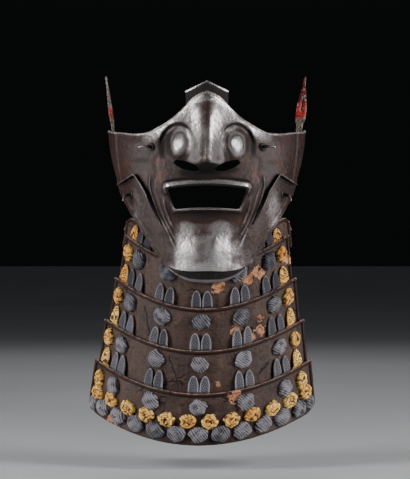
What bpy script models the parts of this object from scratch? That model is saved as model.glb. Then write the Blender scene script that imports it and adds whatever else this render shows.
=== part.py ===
"""A samurai face guard: an iron half mask and the laced throat guard that hangs from it.

The mask is one raised iron shell with a cut mouth and nostrils, a plate behind the bridge
of the nose, two pierced ear plates, cord guards, hooks and pegs.  The throat guard is five
curved lacquered lames, each hung from the one above by seven laces, and the lowest carries
two rows of knots.

Sizes are written in millimetres and scaled by MM where a mesh is made.  +Z is up, -Y is
the front, and the origin is where the face sits in the guard, level with the chin's edge.
"""

from collections import namedtuple
import math

import bmesh
import bpy
from mathutils import Matrix, Vector
import numpy as np

MM = 0.001
MERGE = 0.0001

# Plates and clearances
FACE_THICKNESS = 1.6
SMALL_PLATE = 1.5
LAME_THICKNESS = 1.8
CLEARANCE = 0.35

# The face shell: a row for each level, from the jaw's edge (0) to the top edge (1).
# Each level is an arc of an ellipse from the middle to the rear edge, mirrored, and the
# arc goes a little past its widest place, so that the sides close in behind the cheeks.
Level = namedtuple("Level", "level half_width front reach")
LEVELS = [
    Level(0.00, 71.8, 19.5, 58.5),
    Level(0.25, 74.4, 23.0, 65.0),
    Level(0.50, 77.3, 24.0, 68.0),
    Level(0.75, 79.3, 20.0, 65.5),
    Level(1.00, 80.3, 11.5, 58.0),
]
REAR_TURN = math.radians(101)

# The shell's two long edges as seen from the front, from the middle to the rear.
Edge = namedtuple("Edge", "across height")
JAW_EDGE = [
    Edge(0.0, -0.5),
    Edge(18.3, -0.3),
    Edge(27.7, 1.8),
    Edge(37.2, 7.5),
    Edge(43.1, 16.8),
    Edge(50.3, 28.6),
    Edge(58.7, 41.5),
    Edge(66.4, 54.9),
    Edge(71.8, 69.1),
]
TOP_EDGE = [
    Edge(0.0, 141.8),
    Edge(6.0, 139.4),
    Edge(12.0, 135.7),
    Edge(18.3, 128.9),
    Edge(27.8, 120.9),
    Edge(37.2, 115.2),
    Edge(46.8, 110.4),
    Edge(55.8, 109.4),
    Edge(68.2, 110.8),
    Edge(80.3, 113.8),
]

# The nose, a row for each height: how far it stands out and how wide it is.
Nose = namedtuple("Nose", "height rise half_width")
NOSE = [
    Nose(76.0, 0.0, 15.0),
    Nose(79.0, 4.0, 15.0),
    Nose(82.5, 15.0, 14.5),
    Nose(86.0, 20.5, 14.5),
    Nose(92.0, 21.0, 15.0),
    Nose(104.0, 19.5, 17.5),
    Nose(118.0, 17.5, 23.0),
    Nose(132.0, 15.5, 30.0),
    Nose(150.0, 12.0, 36.0),
]
NOSE_SPREAD = 1.25
NOSE_ROUND = 0.12
NOSE_BLEND = 0.14

# Where a form begins and where it is full, or where it begins to end and is gone
Fade = namedtuple("Fade", "start end")

# The wing on each side of the nose, an egg with a groove arched over it.
WING_ACROSS = 23.0
WING_HEIGHT = 99.5
WING_HALF_WIDTH = 11.8
WING_HALF_HEIGHT = 14.8
WING_RISE = 8.5
WING_SIDE = Fade(0.15, 1.0)
WING_FOOT = Fade(79.0, 86.0)
WING_GROOVE = 2.2
WING_GROOVE_AT = 1.12
WING_GROOVE_WIDTH = 0.14
WING_GROOVE_END = Fade(-0.6, 0.3)

# The fold from the wing down past the mouth, and the creases outside it.
Fold = namedtuple("Fold", "height across")
LAUGH_LINE = [Fold(50.0, 34.0), Fold(62.0, 37.5), Fold(76.0, 41.0), Fold(87.0, 42.0), Fold(98.0, 37.0)]
OUTER_CREASE = [
    Fold(16.0, 25.0),
    Fold(29.0, 30.5),
    Fold(47.0, 39.6),
    Fold(58.0, 43.4),
    Fold(69.0, 45.8),
    Fold(80.0, 44.2),
]
MIDDLE_CREASE = [
    Fold(24.0, 25.2),
    Fold(36.0, 31.1),
    Fold(45.0, 34.8),
    Fold(55.0, 38.4),
    Fold(66.0, 41.4),
    Fold(76.0, 40.6),
]
INNER_CREASE = [Fold(32.0, 26.4), Fold(39.0, 29.4), Fold(47.0, 32.4), Fold(60.0, 35.6)]
CREASES = [OUTER_CREASE, MIDDLE_CREASE, INNER_CREASE]
LAUGH_STEP = 2.4
LAUGH_SIDE = Fade(-4.0, 3.5)
LAUGH_BOTTOM = Fade(44.0, 60.0)
LAUGH_TOP = Fade(86.0, 104.0)
CREASE_RISE = 1.4
CREASE_WIDTH = 1.6
CREASE_BOTTOM = Fade(-2.0, 8.0)
CREASE_TOP = Fade(-8.0, 3.0)

# The mouth: its edges at the middle, how far they bow, and its slanting sides.
MOUTH_TOP = 67.4
MOUTH_TOP_BOW = 2.7
MOUTH_BOTTOM = 48.6
MOUTH_BOTTOM_BOW = 1.3
MOUTH_HALF_TOP = 33.3
MOUTH_HALF_BOTTOM = 26.3
MOUTH_ROUND = 2.2
MOUTH_ROUND_TOP = 1.3
MOUTH_POINTS = 9
UPPER_LIP_RISE = 3.4
UPPER_LIP_TOP = Fade(3.6, 6.2)
UPPER_LIP_UNDERSIDE = Fade(-6.0, -2.0)
UPPER_LIP_END = Fade(31.0, 37.0)
LOWER_LIP_RISE = 1.4
LOWER_LIP_EDGE = Fade(0.8, 3.0)
LOWER_LIP_TOP = Fade(-3.0, 1.0)

# The chin
CHIN_HEIGHT = 20.0
CHIN_HALF_WIDTH = 21.0
CHIN_HALF_HEIGHT = 14.0
CHIN_RISE = 6.5
LIP_HOLLOW_HEIGHT = 42.5
LIP_HOLLOW_HALF_HEIGHT = 5.0
LIP_HOLLOW_HALF_WIDTH = 24.0
LIP_HOLLOW = 4.5
JAW_FLARE = 1.6
JAW_FLARE_TOP = Fade(-1.0, 9.0)
JAW_FLARE_END = Fade(22.0, 36.0)

# The cheeks, and the raised strip along the rear edge
CHEEKBONE_ACROSS = 52.0
CHEEKBONE_HEIGHT = 101.0
CHEEKBONE_HALF_WIDTH = 17.0
CHEEKBONE_HALF_HEIGHT = 9.0
CHEEKBONE_RISE = 3.0
REAR_STRIP_SIDE = Fade(0.64, 0.67)
REAR_STRIP_BOTTOM = Fade(0.0, 0.3)
REAR_STRIP_RISE = 0.9

# The plate behind the bridge of the nose, and how far its face lies behind the shell's
BRIDGE_TOP = 151.2
BRIDGE_SLOPE = 8.4
BRIDGE_HIDDEN = 9.0
BRIDGE_HALF_WIDTH = 18.5
BRIDGE_DEPTH = 2.55

# The crescent band turned in under the chin
FLANGE_HALF_LENGTH = 31.0
FLANGE_UPPER = 5.0
FLANGE_BEND = 1.0
FLANGE_LOWER = 1.6
FLANGE_DROP = 8.2
FLANGE_DEPTH = 2.45
FLANGE_OFF_LAME = 2.4

# The ear plates: the middle of each one's base, and how far it turns in behind
Flap = namedtuple("Flap", "name hand across toe")
FLAPS = [
    Flap("ear_flap_left", -1, 77.2, math.radians(3)),
    Flap("ear_flap_right", 1, 75.8, math.radians(16)),
]
FLAP_BACK = 47.0
FLAP_HEIGHT = 114.5
FLAP_LEAN = math.radians(8)

# The leaf shape of an ear plate, backward and upward from the middle of its base, and its slots
Corner = namedtuple("Corner", "back up")
FLAP_OUTLINE = [
    Corner(-4.5, -9.5),
    Corner(4.5, -9.5),
    Corner(6.5, 3.5),
    Corner(11.0, 8.0),
    Corner(12.5, 17.0),
    Corner(9.5, 27.0),
    Corner(5.0, 36.0),
    Corner(2.5, 45.0),
    Corner(-0.5, 36.0),
    Corner(-6.0, 27.0),
    Corner(-10.5, 17.0),
    Corner(-10.5, 8.0),
    Corner(-6.5, 3.5),
]
Slot = namedtuple("Slot", "middle half_width half_height sides")
FLAP_SLOTS = [Slot(22.0, 3.6, 9.5, 10), Slot(4.5, 2.2, 2.4, 6)]
SLOT_TAPER = 0.35

# The cord guards: a place on the face for each corner, from the jaw's edge to the chin
Place = namedtuple("Place", "across height")
GUARD_PATH = [
    Place(69.0, 69.5),
    Place(62.5, 72.8),
    Place(56.2, 76.3),
    Place(54.3, 73.6),
    Place(50.1, 66.9),
    Place(44.8, 58.3),
    Place(41.6, 50.5),
    Place(38.9, 43.5),
    Place(36.0, 36.5),
]
GUARD_HEIGHT = 4.4
GUARD_END_HEIGHT = 1.6
GUARD_END_CORNERS = 3
GUARD_THICKNESS = 1.2
GUARD_FOOT = 1.1

# The hooks under the eyes and the pegs near the jaw: a place on the face, and which way the end bends
Hook = namedtuple("Hook", "name across height bend")
HOOKS = [
    Hook("cheek_hook", 44.5, 98.0, (7.0, 3.0, -1.0)),
    Hook("jaw_peg", 61.0, 60.5, (1.0, 1.0, -4.0)),
]
HOOK_RADIUS = 1.5
HOOK_STANDS = 6.0
HOOK_KNEE = 0.8
HOOK_KNEE_SHARE = 0.25

# Nostrils, almond-shaped openings under the wings
NOSTRIL_ACROSS = 16.2
NOSTRIL_HEIGHT = 82.3
NOSTRIL_HALF_LENGTH = 10.8
NOSTRIL_HALF_HEIGHT = 3.4
NOSTRIL_TILT = math.radians(20)
NOSTRIL_SIDES = 10
CUTTER_FRONT = -80.0
CUTTER_BACK = 10.0

# The grids of the face shell and of the small plates
FACE_COLUMNS = [(0.0, 0.27, 8), (0.27, 0.52, 5), (0.52, 0.64, 1), (0.64, 0.67, 1), (0.67, 1.0, 3)]
FACE_ROWS = [(0.0, 0.28, 4), (0.28, 0.52, 6), (0.52, 0.64, 5), (0.64, 1.0, 6)]
PLATE_COLUMNS = 9
PLATE_ROWS = 4
MIDDLE_LEVEL = LEVELS[2]
SEARCH_ROUNDS = 8

# The throat guard: a row for each lame, from the top.  Height, radius, and front are at
# the middle of its upper rim; rise is how far its ends are above its middle.
Lame = namedtuple("Lame", "name height radius front rise drop half_angle")
LAMES = [
    Lame("throat_lame_top", 21.0, 71.9, 6.7, 24.0, 26.0, math.radians(65)),
    Lame("throat_lame_upper", 4.3, 77.9, 11.0, 24.3, 43.0, math.radians(57)),
    Lame("throat_lame_middle", -30.3, 86.4, 16.0, 24.3, 42.0, math.radians(57)),
    Lame("throat_lame_lower", -63.7, 94.9, 21.0, 24.0, 42.0, math.radians(57)),
    Lame("throat_lame_bottom", -97.1, 103.4, 26.0, 25.0, 40.6, math.radians(57)),
]
LAME_FLARE = 0.145
LAME_LEAN = 0.042
LAME_COLUMNS = 16
RIM_WIDTH = 2.6
RIM_RISE = 1.6
RIM_CREST = 0.4
RIM_CREST_AT_END = 0.3
CORNER_RADIUS = 11.0
CORNER_BEND = 0.55

# The throat guard hangs a little askew of the mask
HANG_SHIFT = -1.2
HANG_LEAN = 0.03
HANG_TURN = math.radians(-2.2)

# Laces: a row for each column of them
Lace = namedtuple("Lace", "name angle colour pad_width pad_height petals spacing")
LACES = [
    Lace("middle", math.radians(-0.5), "grey", 14.0, 12.5, 2, 8.2),
    Lace("inner_left", math.radians(-21.7), "grey", 12.6, 13.2, 2, 8.0),
    Lace("inner_right", math.radians(20.2), "grey", 12.6, 13.2, 2, 8.0),
    Lace("outer_left", math.radians(-41.6), "grey", 10.0, 14.0, 2, 8.2),
    Lace("outer_right", math.radians(39.2), "grey", 11.0, 13.4, 2, 8.4),
    Lace("edge_left", math.radians(-50.9), "yellow", 9.0, 12.0, 1, 0.0),
    Lace("edge_right", math.radians(48.8), "yellow", 9.0, 12.0, 1, 0.0),
]
PAD_DROP = 10.8
PAD_DROP_AT_EDGE = 0.6
PAD_RISE = 2.6
PAD_CREST = 0.68
PAD_SIDES = 6
PETAL_LENGTH = 14.0
PETAL_WIDTH = 6.4
PETAL_FOOT = 2.0
PETAL_SHOULDER = 8.0
PETAL_FORK = 8.5
BAND_TAIL = 3.5
BAND_TAPER = 0.75
BAND_LIFT = 0.5
BAND_THICKNESS = 0.95
STUB_RADIUS = 1.0
HOLE_RADIUS = 2.2
HOLE_REACH = 2.0

# The knots on the bottom lame, and the cord behind it that joins each row
KnotRow = namedtuple("KnotRow", "name colour count drop width")
KNOT_ROWS = [
    KnotRow("yellow_knot_row", "yellow", 12, 22.2, 10.8),
    KnotRow("grey_knot_row", "grey", 13, 32.2, 13.0),
]
KNOT_STEP = math.radians(9.2)
KNOT_LAST = math.radians(52.6)
END_KNOT_WIDTH = 8.6
KNOT_HEIGHT = 0.8
ROW_CORD_HALF_HEIGHT = 1.6
ROW_CORD_END = 0.03
ROW_CORD_COLUMNS = 25

Finish = namedtuple("Finish", "colour roughness metallic")
FINISHES = {
    "russet_iron": Finish((0.075, 0.052, 0.047), 0.35, 0.9),
    "red_lacquer": Finish((0.42, 0.045, 0.035), 0.35, 0.0),
    "brown_lacquer": Finish((0.070, 0.045, 0.038), 0.55, 0.1),
    "grey_lace": Finish((0.19, 0.20, 0.27), 0.9, 0.0),
    "yellow_lace": Finish((0.72, 0.40, 0.06), 0.85, 0.0),
}


def smooth_step(low, high, value):
    """Rise smoothly from 0 at low to 1 at high."""
    ratio = np.clip((value - low) / (high - low), 0.0, 1.0)
    return ratio * ratio * (3.0 - 2.0 * ratio)


def bell(offset, width):
    """A bump of height 1, falling off with the distance from its middle."""
    return np.exp(-((offset / width) ** 2))


def column(table, name):
    """One named column of a table."""
    return np.array([getattr(row, name) for row in table], dtype=float)


def curve_through(places, values, at):
    """A smooth curve through the values, straight beyond its ends."""
    slopes = np.gradient(values, places)
    index = np.clip(np.searchsorted(places, at) - 1, 0, len(places) - 2)
    width = places[index + 1] - places[index]
    ratio = np.clip((at - places[index]) / width, 0.0, 1.0)
    cubed = ratio ** 3
    squared = ratio ** 2
    inside = (
        (2 * cubed - 3 * squared + 1) * values[index]
        + (cubed - 2 * squared + ratio) * width * slopes[index]
        + (3 * squared - 2 * cubed) * values[index + 1]
        + (cubed - squared) * width * slopes[index + 1]
    )
    before = np.minimum(at - places[0], 0.0) * slopes[0]
    after = np.maximum(at - places[-1], 0.0) * slopes[-1]
    return inside + before + after


def steps(spans):
    """Values along several spans, each a start, an end and a number of steps."""
    values = [spans[0][0]]
    for start, end, count in spans:
        values += [start + (end - start) * (i + 1) / count for i in range(count)]
    return np.array(values)


# The face shell


def edge_height(table, side):
    """Height of a long edge of the shell; side is 0 in the middle and 1 at the rear."""
    across = column(table, "across")
    places = np.arcsin(across / across[-1]) / REAR_TURN
    return curve_through(places, column(table, "height"), side)


def level_value(name, level):
    """A column of the table of levels, read at any level."""
    return curve_through(column(LEVELS, "level"), column(LEVELS, name), level)


def nose_relief(across, height):
    """The tent-shaped nose with its rounded ridge, ending in an overhanging tip."""
    rise = curve_through(column(NOSE, "height"), column(NOSE, "rise"), height)
    width = curve_through(column(NOSE, "height"), column(NOSE, "half_width"), height)
    ratio = across / (NOSE_SPREAD * width)
    fall = (np.hypot(ratio, NOSE_ROUND) - NOSE_ROUND) / (math.hypot(1.0, NOSE_ROUND) - NOSE_ROUND)
    return np.maximum(rise, 0.0) * 0.5 * (1.0 - fall + np.hypot(1.0 - fall, NOSE_BLEND))


def wing_relief(across, height):
    """The egg-shaped wing beside the nose and the groove arched over it."""
    sideways = (across - WING_ACROSS) / WING_HALF_WIDTH
    upward = (height - WING_HEIGHT) / WING_HALF_HEIGHT
    radius = np.hypot(sideways, upward)
    egg = WING_RISE * (1.0 - smooth_step(*WING_SIDE, radius)) * smooth_step(*WING_FOOT, height)
    groove = WING_GROOVE * bell(radius - WING_GROOVE_AT, WING_GROOVE_WIDTH)
    return egg - groove * smooth_step(*WING_GROOVE_END, upward)


def laugh_relief(across, height):
    """The muzzle around the mouth, standing proud of the cheeks along the laugh line."""
    line = curve_through(column(LAUGH_LINE, "height"), column(LAUGH_LINE, "across"), height)
    window = smooth_step(*LAUGH_BOTTOM, height) * (1.0 - smooth_step(*LAUGH_TOP, height))
    return LAUGH_STEP * window * (1.0 - smooth_step(*LAUGH_SIDE, across - line))


def crease_relief(across, height):
    """The raised creases that run down beside the mouth to the chin."""
    relief = 0.0
    for crease in CREASES:
        line = curve_through(column(crease, "height"), column(crease, "across"), height)
        window = smooth_step(*CREASE_BOTTOM, height - crease[0].height)
        window = window * (1.0 - smooth_step(*CREASE_TOP, height - crease[-1].height))
        relief = relief + CREASE_RISE * window * bell(across - line, CREASE_WIDTH)
    return relief


def mouth_top(across):
    """Height of the mouth's upper edge."""
    return MOUTH_TOP - MOUTH_TOP_BOW * (across / MOUTH_HALF_TOP) ** 2


def mouth_bottom(across):
    """Height of the mouth's lower edge."""
    return MOUTH_BOTTOM - MOUTH_BOTTOM_BOW * (across / MOUTH_HALF_BOTTOM) ** 2


def mouth_side(height):
    """Half width of the mouth at a height."""
    slope = (MOUTH_HALF_TOP - MOUTH_HALF_BOTTOM) / (MOUTH_TOP - MOUTH_BOTTOM)
    return MOUTH_HALF_BOTTOM + slope * (height - MOUTH_BOTTOM)


def lip_relief(across, height):
    """The broad upper lip and the thin turned edge round the rest of the mouth."""
    above = height - mouth_top(across)
    upper = UPPER_LIP_RISE * (1.0 - smooth_step(*UPPER_LIP_TOP, above))
    upper = upper * smooth_step(*UPPER_LIP_UNDERSIDE, above) * (1.0 - smooth_step(*UPPER_LIP_END, across))
    outside = np.maximum(mouth_bottom(across) - height, across - mouth_side(height))
    edge = LOWER_LIP_RISE * (1.0 - smooth_step(*LOWER_LIP_EDGE, outside))
    return upper + edge * (1.0 - smooth_step(*LOWER_LIP_TOP, above))


def chin_relief(across, height):
    """The boss of the chin, the hollow between it and the mouth, and the edge flaring out below."""
    boss = CHIN_RISE * bell(height - CHIN_HEIGHT, CHIN_HALF_HEIGHT) * bell(across, CHIN_HALF_WIDTH)
    hollow = bell(height - LIP_HOLLOW_HEIGHT, LIP_HOLLOW_HALF_HEIGHT) * bell(across, LIP_HOLLOW_HALF_WIDTH)
    below = 1.0 - smooth_step(*JAW_FLARE_TOP, height)
    flare = JAW_FLARE * below * (1.0 - smooth_step(*JAW_FLARE_END, across))
    return boss - LIP_HOLLOW * hollow + flare


def cheek_relief(across, height):
    """The cheekbone under the eye."""
    sideways = bell(across - CHEEKBONE_ACROSS, CHEEKBONE_HALF_WIDTH)
    return CHEEKBONE_RISE * sideways * bell(height - CHEEKBONE_HEIGHT, CHEEKBONE_HALF_HEIGHT)


def face_relief(across, height):
    """How far the shell stands in front of its plain form."""
    across = np.abs(across)
    relief = nose_relief(across, height) + wing_relief(across, height)
    relief = relief + laugh_relief(across, height) + crease_relief(across, height)
    relief = relief + lip_relief(across, height) + chin_relief(across, height)
    return relief + cheek_relief(across, height)


def face_grid(sides, levels):
    """Points of the half shell, a row for each level and a column for each side value."""
    side, level = np.meshgrid(sides, levels)
    turn = side * REAR_TURN
    across = level_value("half_width", level) * np.sin(turn)
    jaw = edge_height(JAW_EDGE, side)
    height = jaw + (edge_height(TOP_EDGE, side) - jaw) * level
    front = level_value("front", level) - level_value("reach", level) * (1.0 - np.cos(turn))
    front = front + face_relief(across, height)
    strip = smooth_step(*REAR_STRIP_SIDE, side) * smooth_step(*REAR_STRIP_BOTTOM, level)
    return np.stack([across + REAR_STRIP_RISE * strip, -front, height], axis=-1)


def face_front(across, height):
    """How far forward the shell is at a place seen from the front."""
    across = np.abs(across)
    half_width = MIDDLE_LEVEL.half_width
    for _ in range(SEARCH_ROUNDS):
        side = math.asin(min(across / half_width, 1.0)) / REAR_TURN
        jaw = edge_height(JAW_EDGE, side)
        level = (height - jaw) / (edge_height(TOP_EDGE, side) - jaw)
        half_width = level_value("half_width", level)
    turn = side * REAR_TURN
    plain = level_value("front", level) - level_value("reach", level) * (1.0 - math.cos(turn))
    return float(plain + face_relief(across, height))


def face_normal(across, height):
    """The direction out of the shell at a place seen from the front."""
    reach = 0.5
    sideways = (face_front(across + reach, height) - face_front(across - reach, height)) / (2 * reach)
    upward = (face_front(across, height + reach) - face_front(across, height - reach)) / (2 * reach)
    return Vector((-sideways, -1.0, -upward)).normalized()


def on_face(across, height, out):
    """A point some distance out of the shell."""
    point = Vector((across, -face_front(across, height), height))
    return point + face_normal(across, height) * out


# Meshes and materials


def make_collection(name):
    """A new collection in the scene."""
    collection = bpy.data.collections.new(name)
    bpy.context.scene.collection.children.link(collection)
    return collection


def make_material(name):
    """A Principled material with a named finish."""
    finish = FINISHES[name]
    material = bpy.data.materials.new(name)
    material.use_nodes = True
    shader = material.node_tree.nodes["Principled BSDF"]
    shader.inputs["Base Color"].default_value = (*finish.colour, 1.0)
    shader.inputs["Roughness"].default_value = finish.roughness
    shader.inputs["Metallic"].default_value = finish.metallic
    return material


def add_object(name, data, collection, finish=None):
    """An object in a collection, with its own material."""
    thing = bpy.data.objects.new(name, data)
    collection.objects.link(thing)
    if finish:
        material = make_material(finish)
        material.name = name + "_" + finish
        data.materials.append(material)
    return thing


def grid_mesh(name, points):
    """An open surface over rows and columns of points in millimetres."""
    rows, columns = points.shape[:2]
    corners = [tuple(point) for point in points.reshape(-1, 3) * MM]
    faces = []
    for row in range(rows - 1):
        for place in range(columns - 1):
            first = row * columns + place
            faces.append((first, first + 1, first + columns + 1, first + columns))
    mesh = bpy.data.meshes.new(name)
    mesh.from_pydata(corners, [], faces)
    mesh.shade_smooth()
    return mesh


def prism_mesh(name, outlines):
    """Closed prisms, each from two outlines with the same number of points in millimetres."""
    mesh = bpy.data.meshes.new(name)
    bm = bmesh.new()
    for rings in outlines:
        loops = [[bm.verts.new(Vector(point) * MM) for point in ring] for ring in rings]
        count = len(loops[0])
        for lower, upper in zip(loops, loops[1:]):
            for i in range(count):
                j = (i + 1) % count
                bm.faces.new((lower[i], lower[j], upper[j], upper[i]))
        bm.faces.new(list(reversed(loops[0])))
        bm.faces.new(loops[-1])
    bmesh.ops.recalc_face_normals(bm, faces=bm.faces)
    bm.to_mesh(mesh)
    bm.free()
    return mesh


def thicken(thing, thickness, offset=-1.0):
    """Give a surface its thickness."""
    solid = thing.modifiers.new("Thickness", "SOLIDIFY")
    solid.thickness = thickness * MM
    solid.offset = offset


def cut(thing, cutter):
    """Cut a hole with another object."""
    boolean = thing.modifiers.new("Cut " + cutter.name, "BOOLEAN")
    boolean.operation = "DIFFERENCE"
    boolean.object = cutter


def add_cutter(name, outlines, cutters):
    """A cutter made of prisms, hidden in the render."""
    cutter = add_object(name, prism_mesh(name, outlines), cutters)
    cutter.hide_render = True
    cutter.display_type = "WIRE"
    return cutter


def wire(name, points, radius, collection, finish):
    """A bent round bar with closed ends."""
    curve = bpy.data.curves.new(name, "CURVE")
    curve.dimensions = "3D"
    curve.bevel_depth = radius * MM
    curve.bevel_resolution = 1
    curve.use_fill_caps = True
    spline = curve.splines.new("POLY")
    spline.points.add(len(points) - 1)
    for place, point in zip(spline.points, points):
        place.co = (*(Vector(point) * MM), 1.0)
    return add_object(name, curve, collection, finish)


# The mask


def mouth_outline():
    """The mouth seen from the front, anticlockwise from its lower left corner."""
    shares = np.linspace(-1, 1, MOUTH_POINTS)
    lower = [(x, mouth_bottom(x)) for x in shares * (MOUTH_HALF_BOTTOM - MOUTH_ROUND)]
    upper = [(x, mouth_top(x)) for x in -shares * (MOUTH_HALF_TOP - MOUTH_ROUND)]
    low = MOUTH_BOTTOM - MOUTH_BOTTOM_BOW + MOUTH_ROUND
    high = MOUTH_TOP - MOUTH_TOP_BOW - MOUTH_ROUND_TOP
    right = [(mouth_side(low), low), (mouth_side(high), high)]
    left = [(-across, height) for across, height in reversed(right)]
    return lower + right + upper + left


def nostril_outline(hand):
    """One nostril seen from the front; hand is -1 on the left and 1 on the right."""
    outline = []
    for i in range(NOSTRIL_SIDES):
        angle = 2 * math.pi * i / NOSTRIL_SIDES
        along = NOSTRIL_HALF_LENGTH * math.cos(angle)
        up = NOSTRIL_HALF_HEIGHT * math.sin(angle)
        across = along * math.cos(NOSTRIL_TILT) - up * math.sin(NOSTRIL_TILT)
        height = along * math.sin(NOSTRIL_TILT) + up * math.cos(NOSTRIL_TILT)
        outline.append((hand * (NOSTRIL_ACROSS + across), NOSTRIL_HEIGHT + height))
    return outline


def through_cutter(name, outline, cutters):
    """A cutter that runs from in front of the mask to behind it."""
    rings = [[(x, y, z) for x, z in outline] for y in (CUTTER_FRONT, CUTTER_BACK)]
    return add_cutter(name, [rings], cutters)


def make_face_plate(part, cutters):
    """The raised iron shell with its mouth and nostrils cut through."""
    points = face_grid(steps(FACE_COLUMNS), steps(FACE_ROWS))
    plate = add_object("face_plate", grid_mesh("face_plate", points), part, "russet_iron")
    mirror = plate.modifiers.new("Mirror", "MIRROR")
    mirror.use_axis = (True, False, False)
    mirror.merge_threshold = MERGE
    thicken(plate, FACE_THICKNESS)
    cut(plate, through_cutter("mouth_cutter", mouth_outline(), cutters))
    cut(plate, through_cutter("nostril_cutter_left", nostril_outline(-1), cutters))
    cut(plate, through_cutter("nostril_cutter_right", nostril_outline(1), cutters))


def make_nose_bridge_plate(part):
    """The roof-shaped plate riveted behind the bridge of the nose, its foot hidden by the shell."""
    rows = []
    for share in np.linspace(-1.0, 1.0, PLATE_COLUMNS):
        across = BRIDGE_HALF_WIDTH * share
        side = math.asin(abs(across) / MIDDLE_LEVEL.half_width) / REAR_TURN
        top = BRIDGE_TOP - BRIDGE_SLOPE * abs(share)
        bottom = float(edge_height(TOP_EDGE, side)) - BRIDGE_HIDDEN
        heights = np.linspace(top, bottom, PLATE_ROWS)
        rows.append([on_face(across, height, -BRIDGE_DEPTH) for height in heights])
    surface = grid_mesh("nose_bridge_plate", np.array(rows))
    plate = add_object("nose_bridge_plate", surface, part, "russet_iron")
    thicken(plate, SMALL_PLATE)


def make_chin_flange(part):
    """The crescent band turned in under the chin, with its lower edge against the lames."""
    rows = []
    lame = LAMES[1]
    for across in np.linspace(-FLANGE_HALF_LENGTH, FLANGE_HALF_LENGTH, PLATE_COLUMNS):
        share = 1.0 - (across / FLANGE_HALF_LENGTH) ** 2
        side = math.asin(abs(across) / LEVELS[0].half_width) / REAR_TURN
        edge = float(edge_height(JAW_EDGE, side))
        upper = on_face(across, edge + FLANGE_UPPER, -FLANGE_DEPTH)
        middle = on_face(across, edge + FLANGE_BEND, -FLANGE_DEPTH)
        lower_front = lame.front - lame.radius * (1.0 - math.cos(across / lame.radius)) + FLANGE_OFF_LAME
        front = lower_front - (lower_front + middle.y) * (1.0 - share)
        rows.append([upper, middle, (across, -front, edge - FLANGE_LOWER - FLANGE_DROP * share)])
    band = add_object("chin_flange", grid_mesh("chin_flange", np.array(rows)), part, "russet_iron")
    thicken(band, SMALL_PLATE)


def slot_outline(slot):
    """A pointed slot, widest below its middle."""
    outline = []
    for i in range(slot.sides):
        angle = 2 * math.pi * i / slot.sides
        half_width = slot.half_width * (1.0 - SLOT_TAPER * math.sin(angle))
        up = slot.middle + slot.half_height * math.sin(angle)
        outline.append(Corner(half_width * math.cos(angle), up))
    return outline


def make_ear_flap(flap, part):
    """A pierced ear plate inside the rear corner of the mask; hand is -1 on the left."""
    curve = bpy.data.curves.new(flap.name, "CURVE")
    curve.dimensions = "2D"
    curve.fill_mode = "BOTH"
    curve.extrude = 0.5 * SMALL_PLATE * MM
    for outline in [FLAP_OUTLINE] + [slot_outline(slot) for slot in FLAP_SLOTS]:
        spline = curve.splines.new("POLY")
        spline.points.add(len(outline) - 1)
        spline.use_cyclic_u = True
        for place, corner in zip(spline.points, outline):
            place.co = (corner.back * MM, corner.up * MM, 0.0, 1.0)
    plate = add_object(flap.name, curve, part, "red_lacquer")
    lean = Matrix.Rotation(FLAP_LEAN * flap.hand, 4, "Y")
    toe = Matrix.Rotation(flap.toe * flap.hand, 4, "Z")
    upright = Matrix.Rotation(math.radians(90), 4, "Z") @ Matrix.Rotation(math.radians(90), 4, "X")
    place = Matrix.Translation(Vector((flap.across * flap.hand, FLAP_BACK, FLAP_HEIGHT)) * MM)
    plate.matrix_world = place @ toe @ lean @ upright


def make_cord_guard(name, hand, part):
    """The bent wall standing on the cheek that stops the helmet cord from slipping."""
    points = []
    for i, (across, height) in enumerate(GUARD_PATH):
        fade = smooth_step(0, GUARD_END_CORNERS, len(GUARD_PATH) - 1 - i)
        outs = (GUARD_FOOT, GUARD_END_HEIGHT + (GUARD_HEIGHT - GUARD_END_HEIGHT) * fade)
        points.append([on_face(hand * across, height, out) for out in outs])
    guard = add_object(name, grid_mesh(name, np.array(points)), part, "russet_iron")
    thicken(guard, GUARD_THICKNESS, 0.0)


def make_hook(hook, side_name, hand, part):
    """A round post standing on the shell with a bent end."""
    foot = on_face(hand * hook.across, hook.height, CLEARANCE)
    normal = face_normal(hand * hook.across, hook.height)
    corner = foot + normal * HOOK_STANDS
    outward, backward, upward = hook.bend
    tip = corner + Vector((hand * outward, backward, upward))
    knee = corner + normal * HOOK_KNEE + (tip - corner) * HOOK_KNEE_SHARE
    wire(hook.name + "_" + side_name, [foot, corner, knee, tip], HOOK_RADIUS, part, "russet_iron")


# The throat guard


def lame_point(lame, angle, down, out):
    """A point on a lame: angle round from its middle, down from its rim, out of its face."""
    radius = lame.radius + LAME_FLARE * down + out
    front = lame.front + LAME_LEAN * down + out
    share = math.sin(angle) / math.sin(lame.half_angle)
    x = radius * math.sin(angle)
    y = radius * (1.0 - math.cos(angle)) - front
    z = lame.height - down + lame.rise * share ** 2
    turned = Matrix.Rotation(HANG_TURN, 3, "Z") @ Vector((x, y, z))
    return turned + Vector((HANG_SHIFT + HANG_LEAN * (z - LAMES[0].height), 0.0, 0.0))


def corner_cut(to_end, radius):
    """How far a rounded corner pulls an edge in at a distance from the lame's end."""
    inside = max(radius - to_end, 0.0)
    return radius - math.sqrt(radius ** 2 - inside ** 2)


def lame_angles(lame):
    """Angles of a lame's columns, closer together at its rolled ends."""
    rim = RIM_WIDTH / lame.radius
    corner = CORNER_RADIUS / lame.radius
    inner = lame.half_angle - corner
    angles = list(np.linspace(-inner, inner, LAME_COLUMNS))
    ends = [lame.half_angle - inset for inset in (corner * CORNER_BEND, rim, rim * RIM_CREST_AT_END, 0.0)]
    return [-angle for angle in reversed(ends)] + angles + ends


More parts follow.
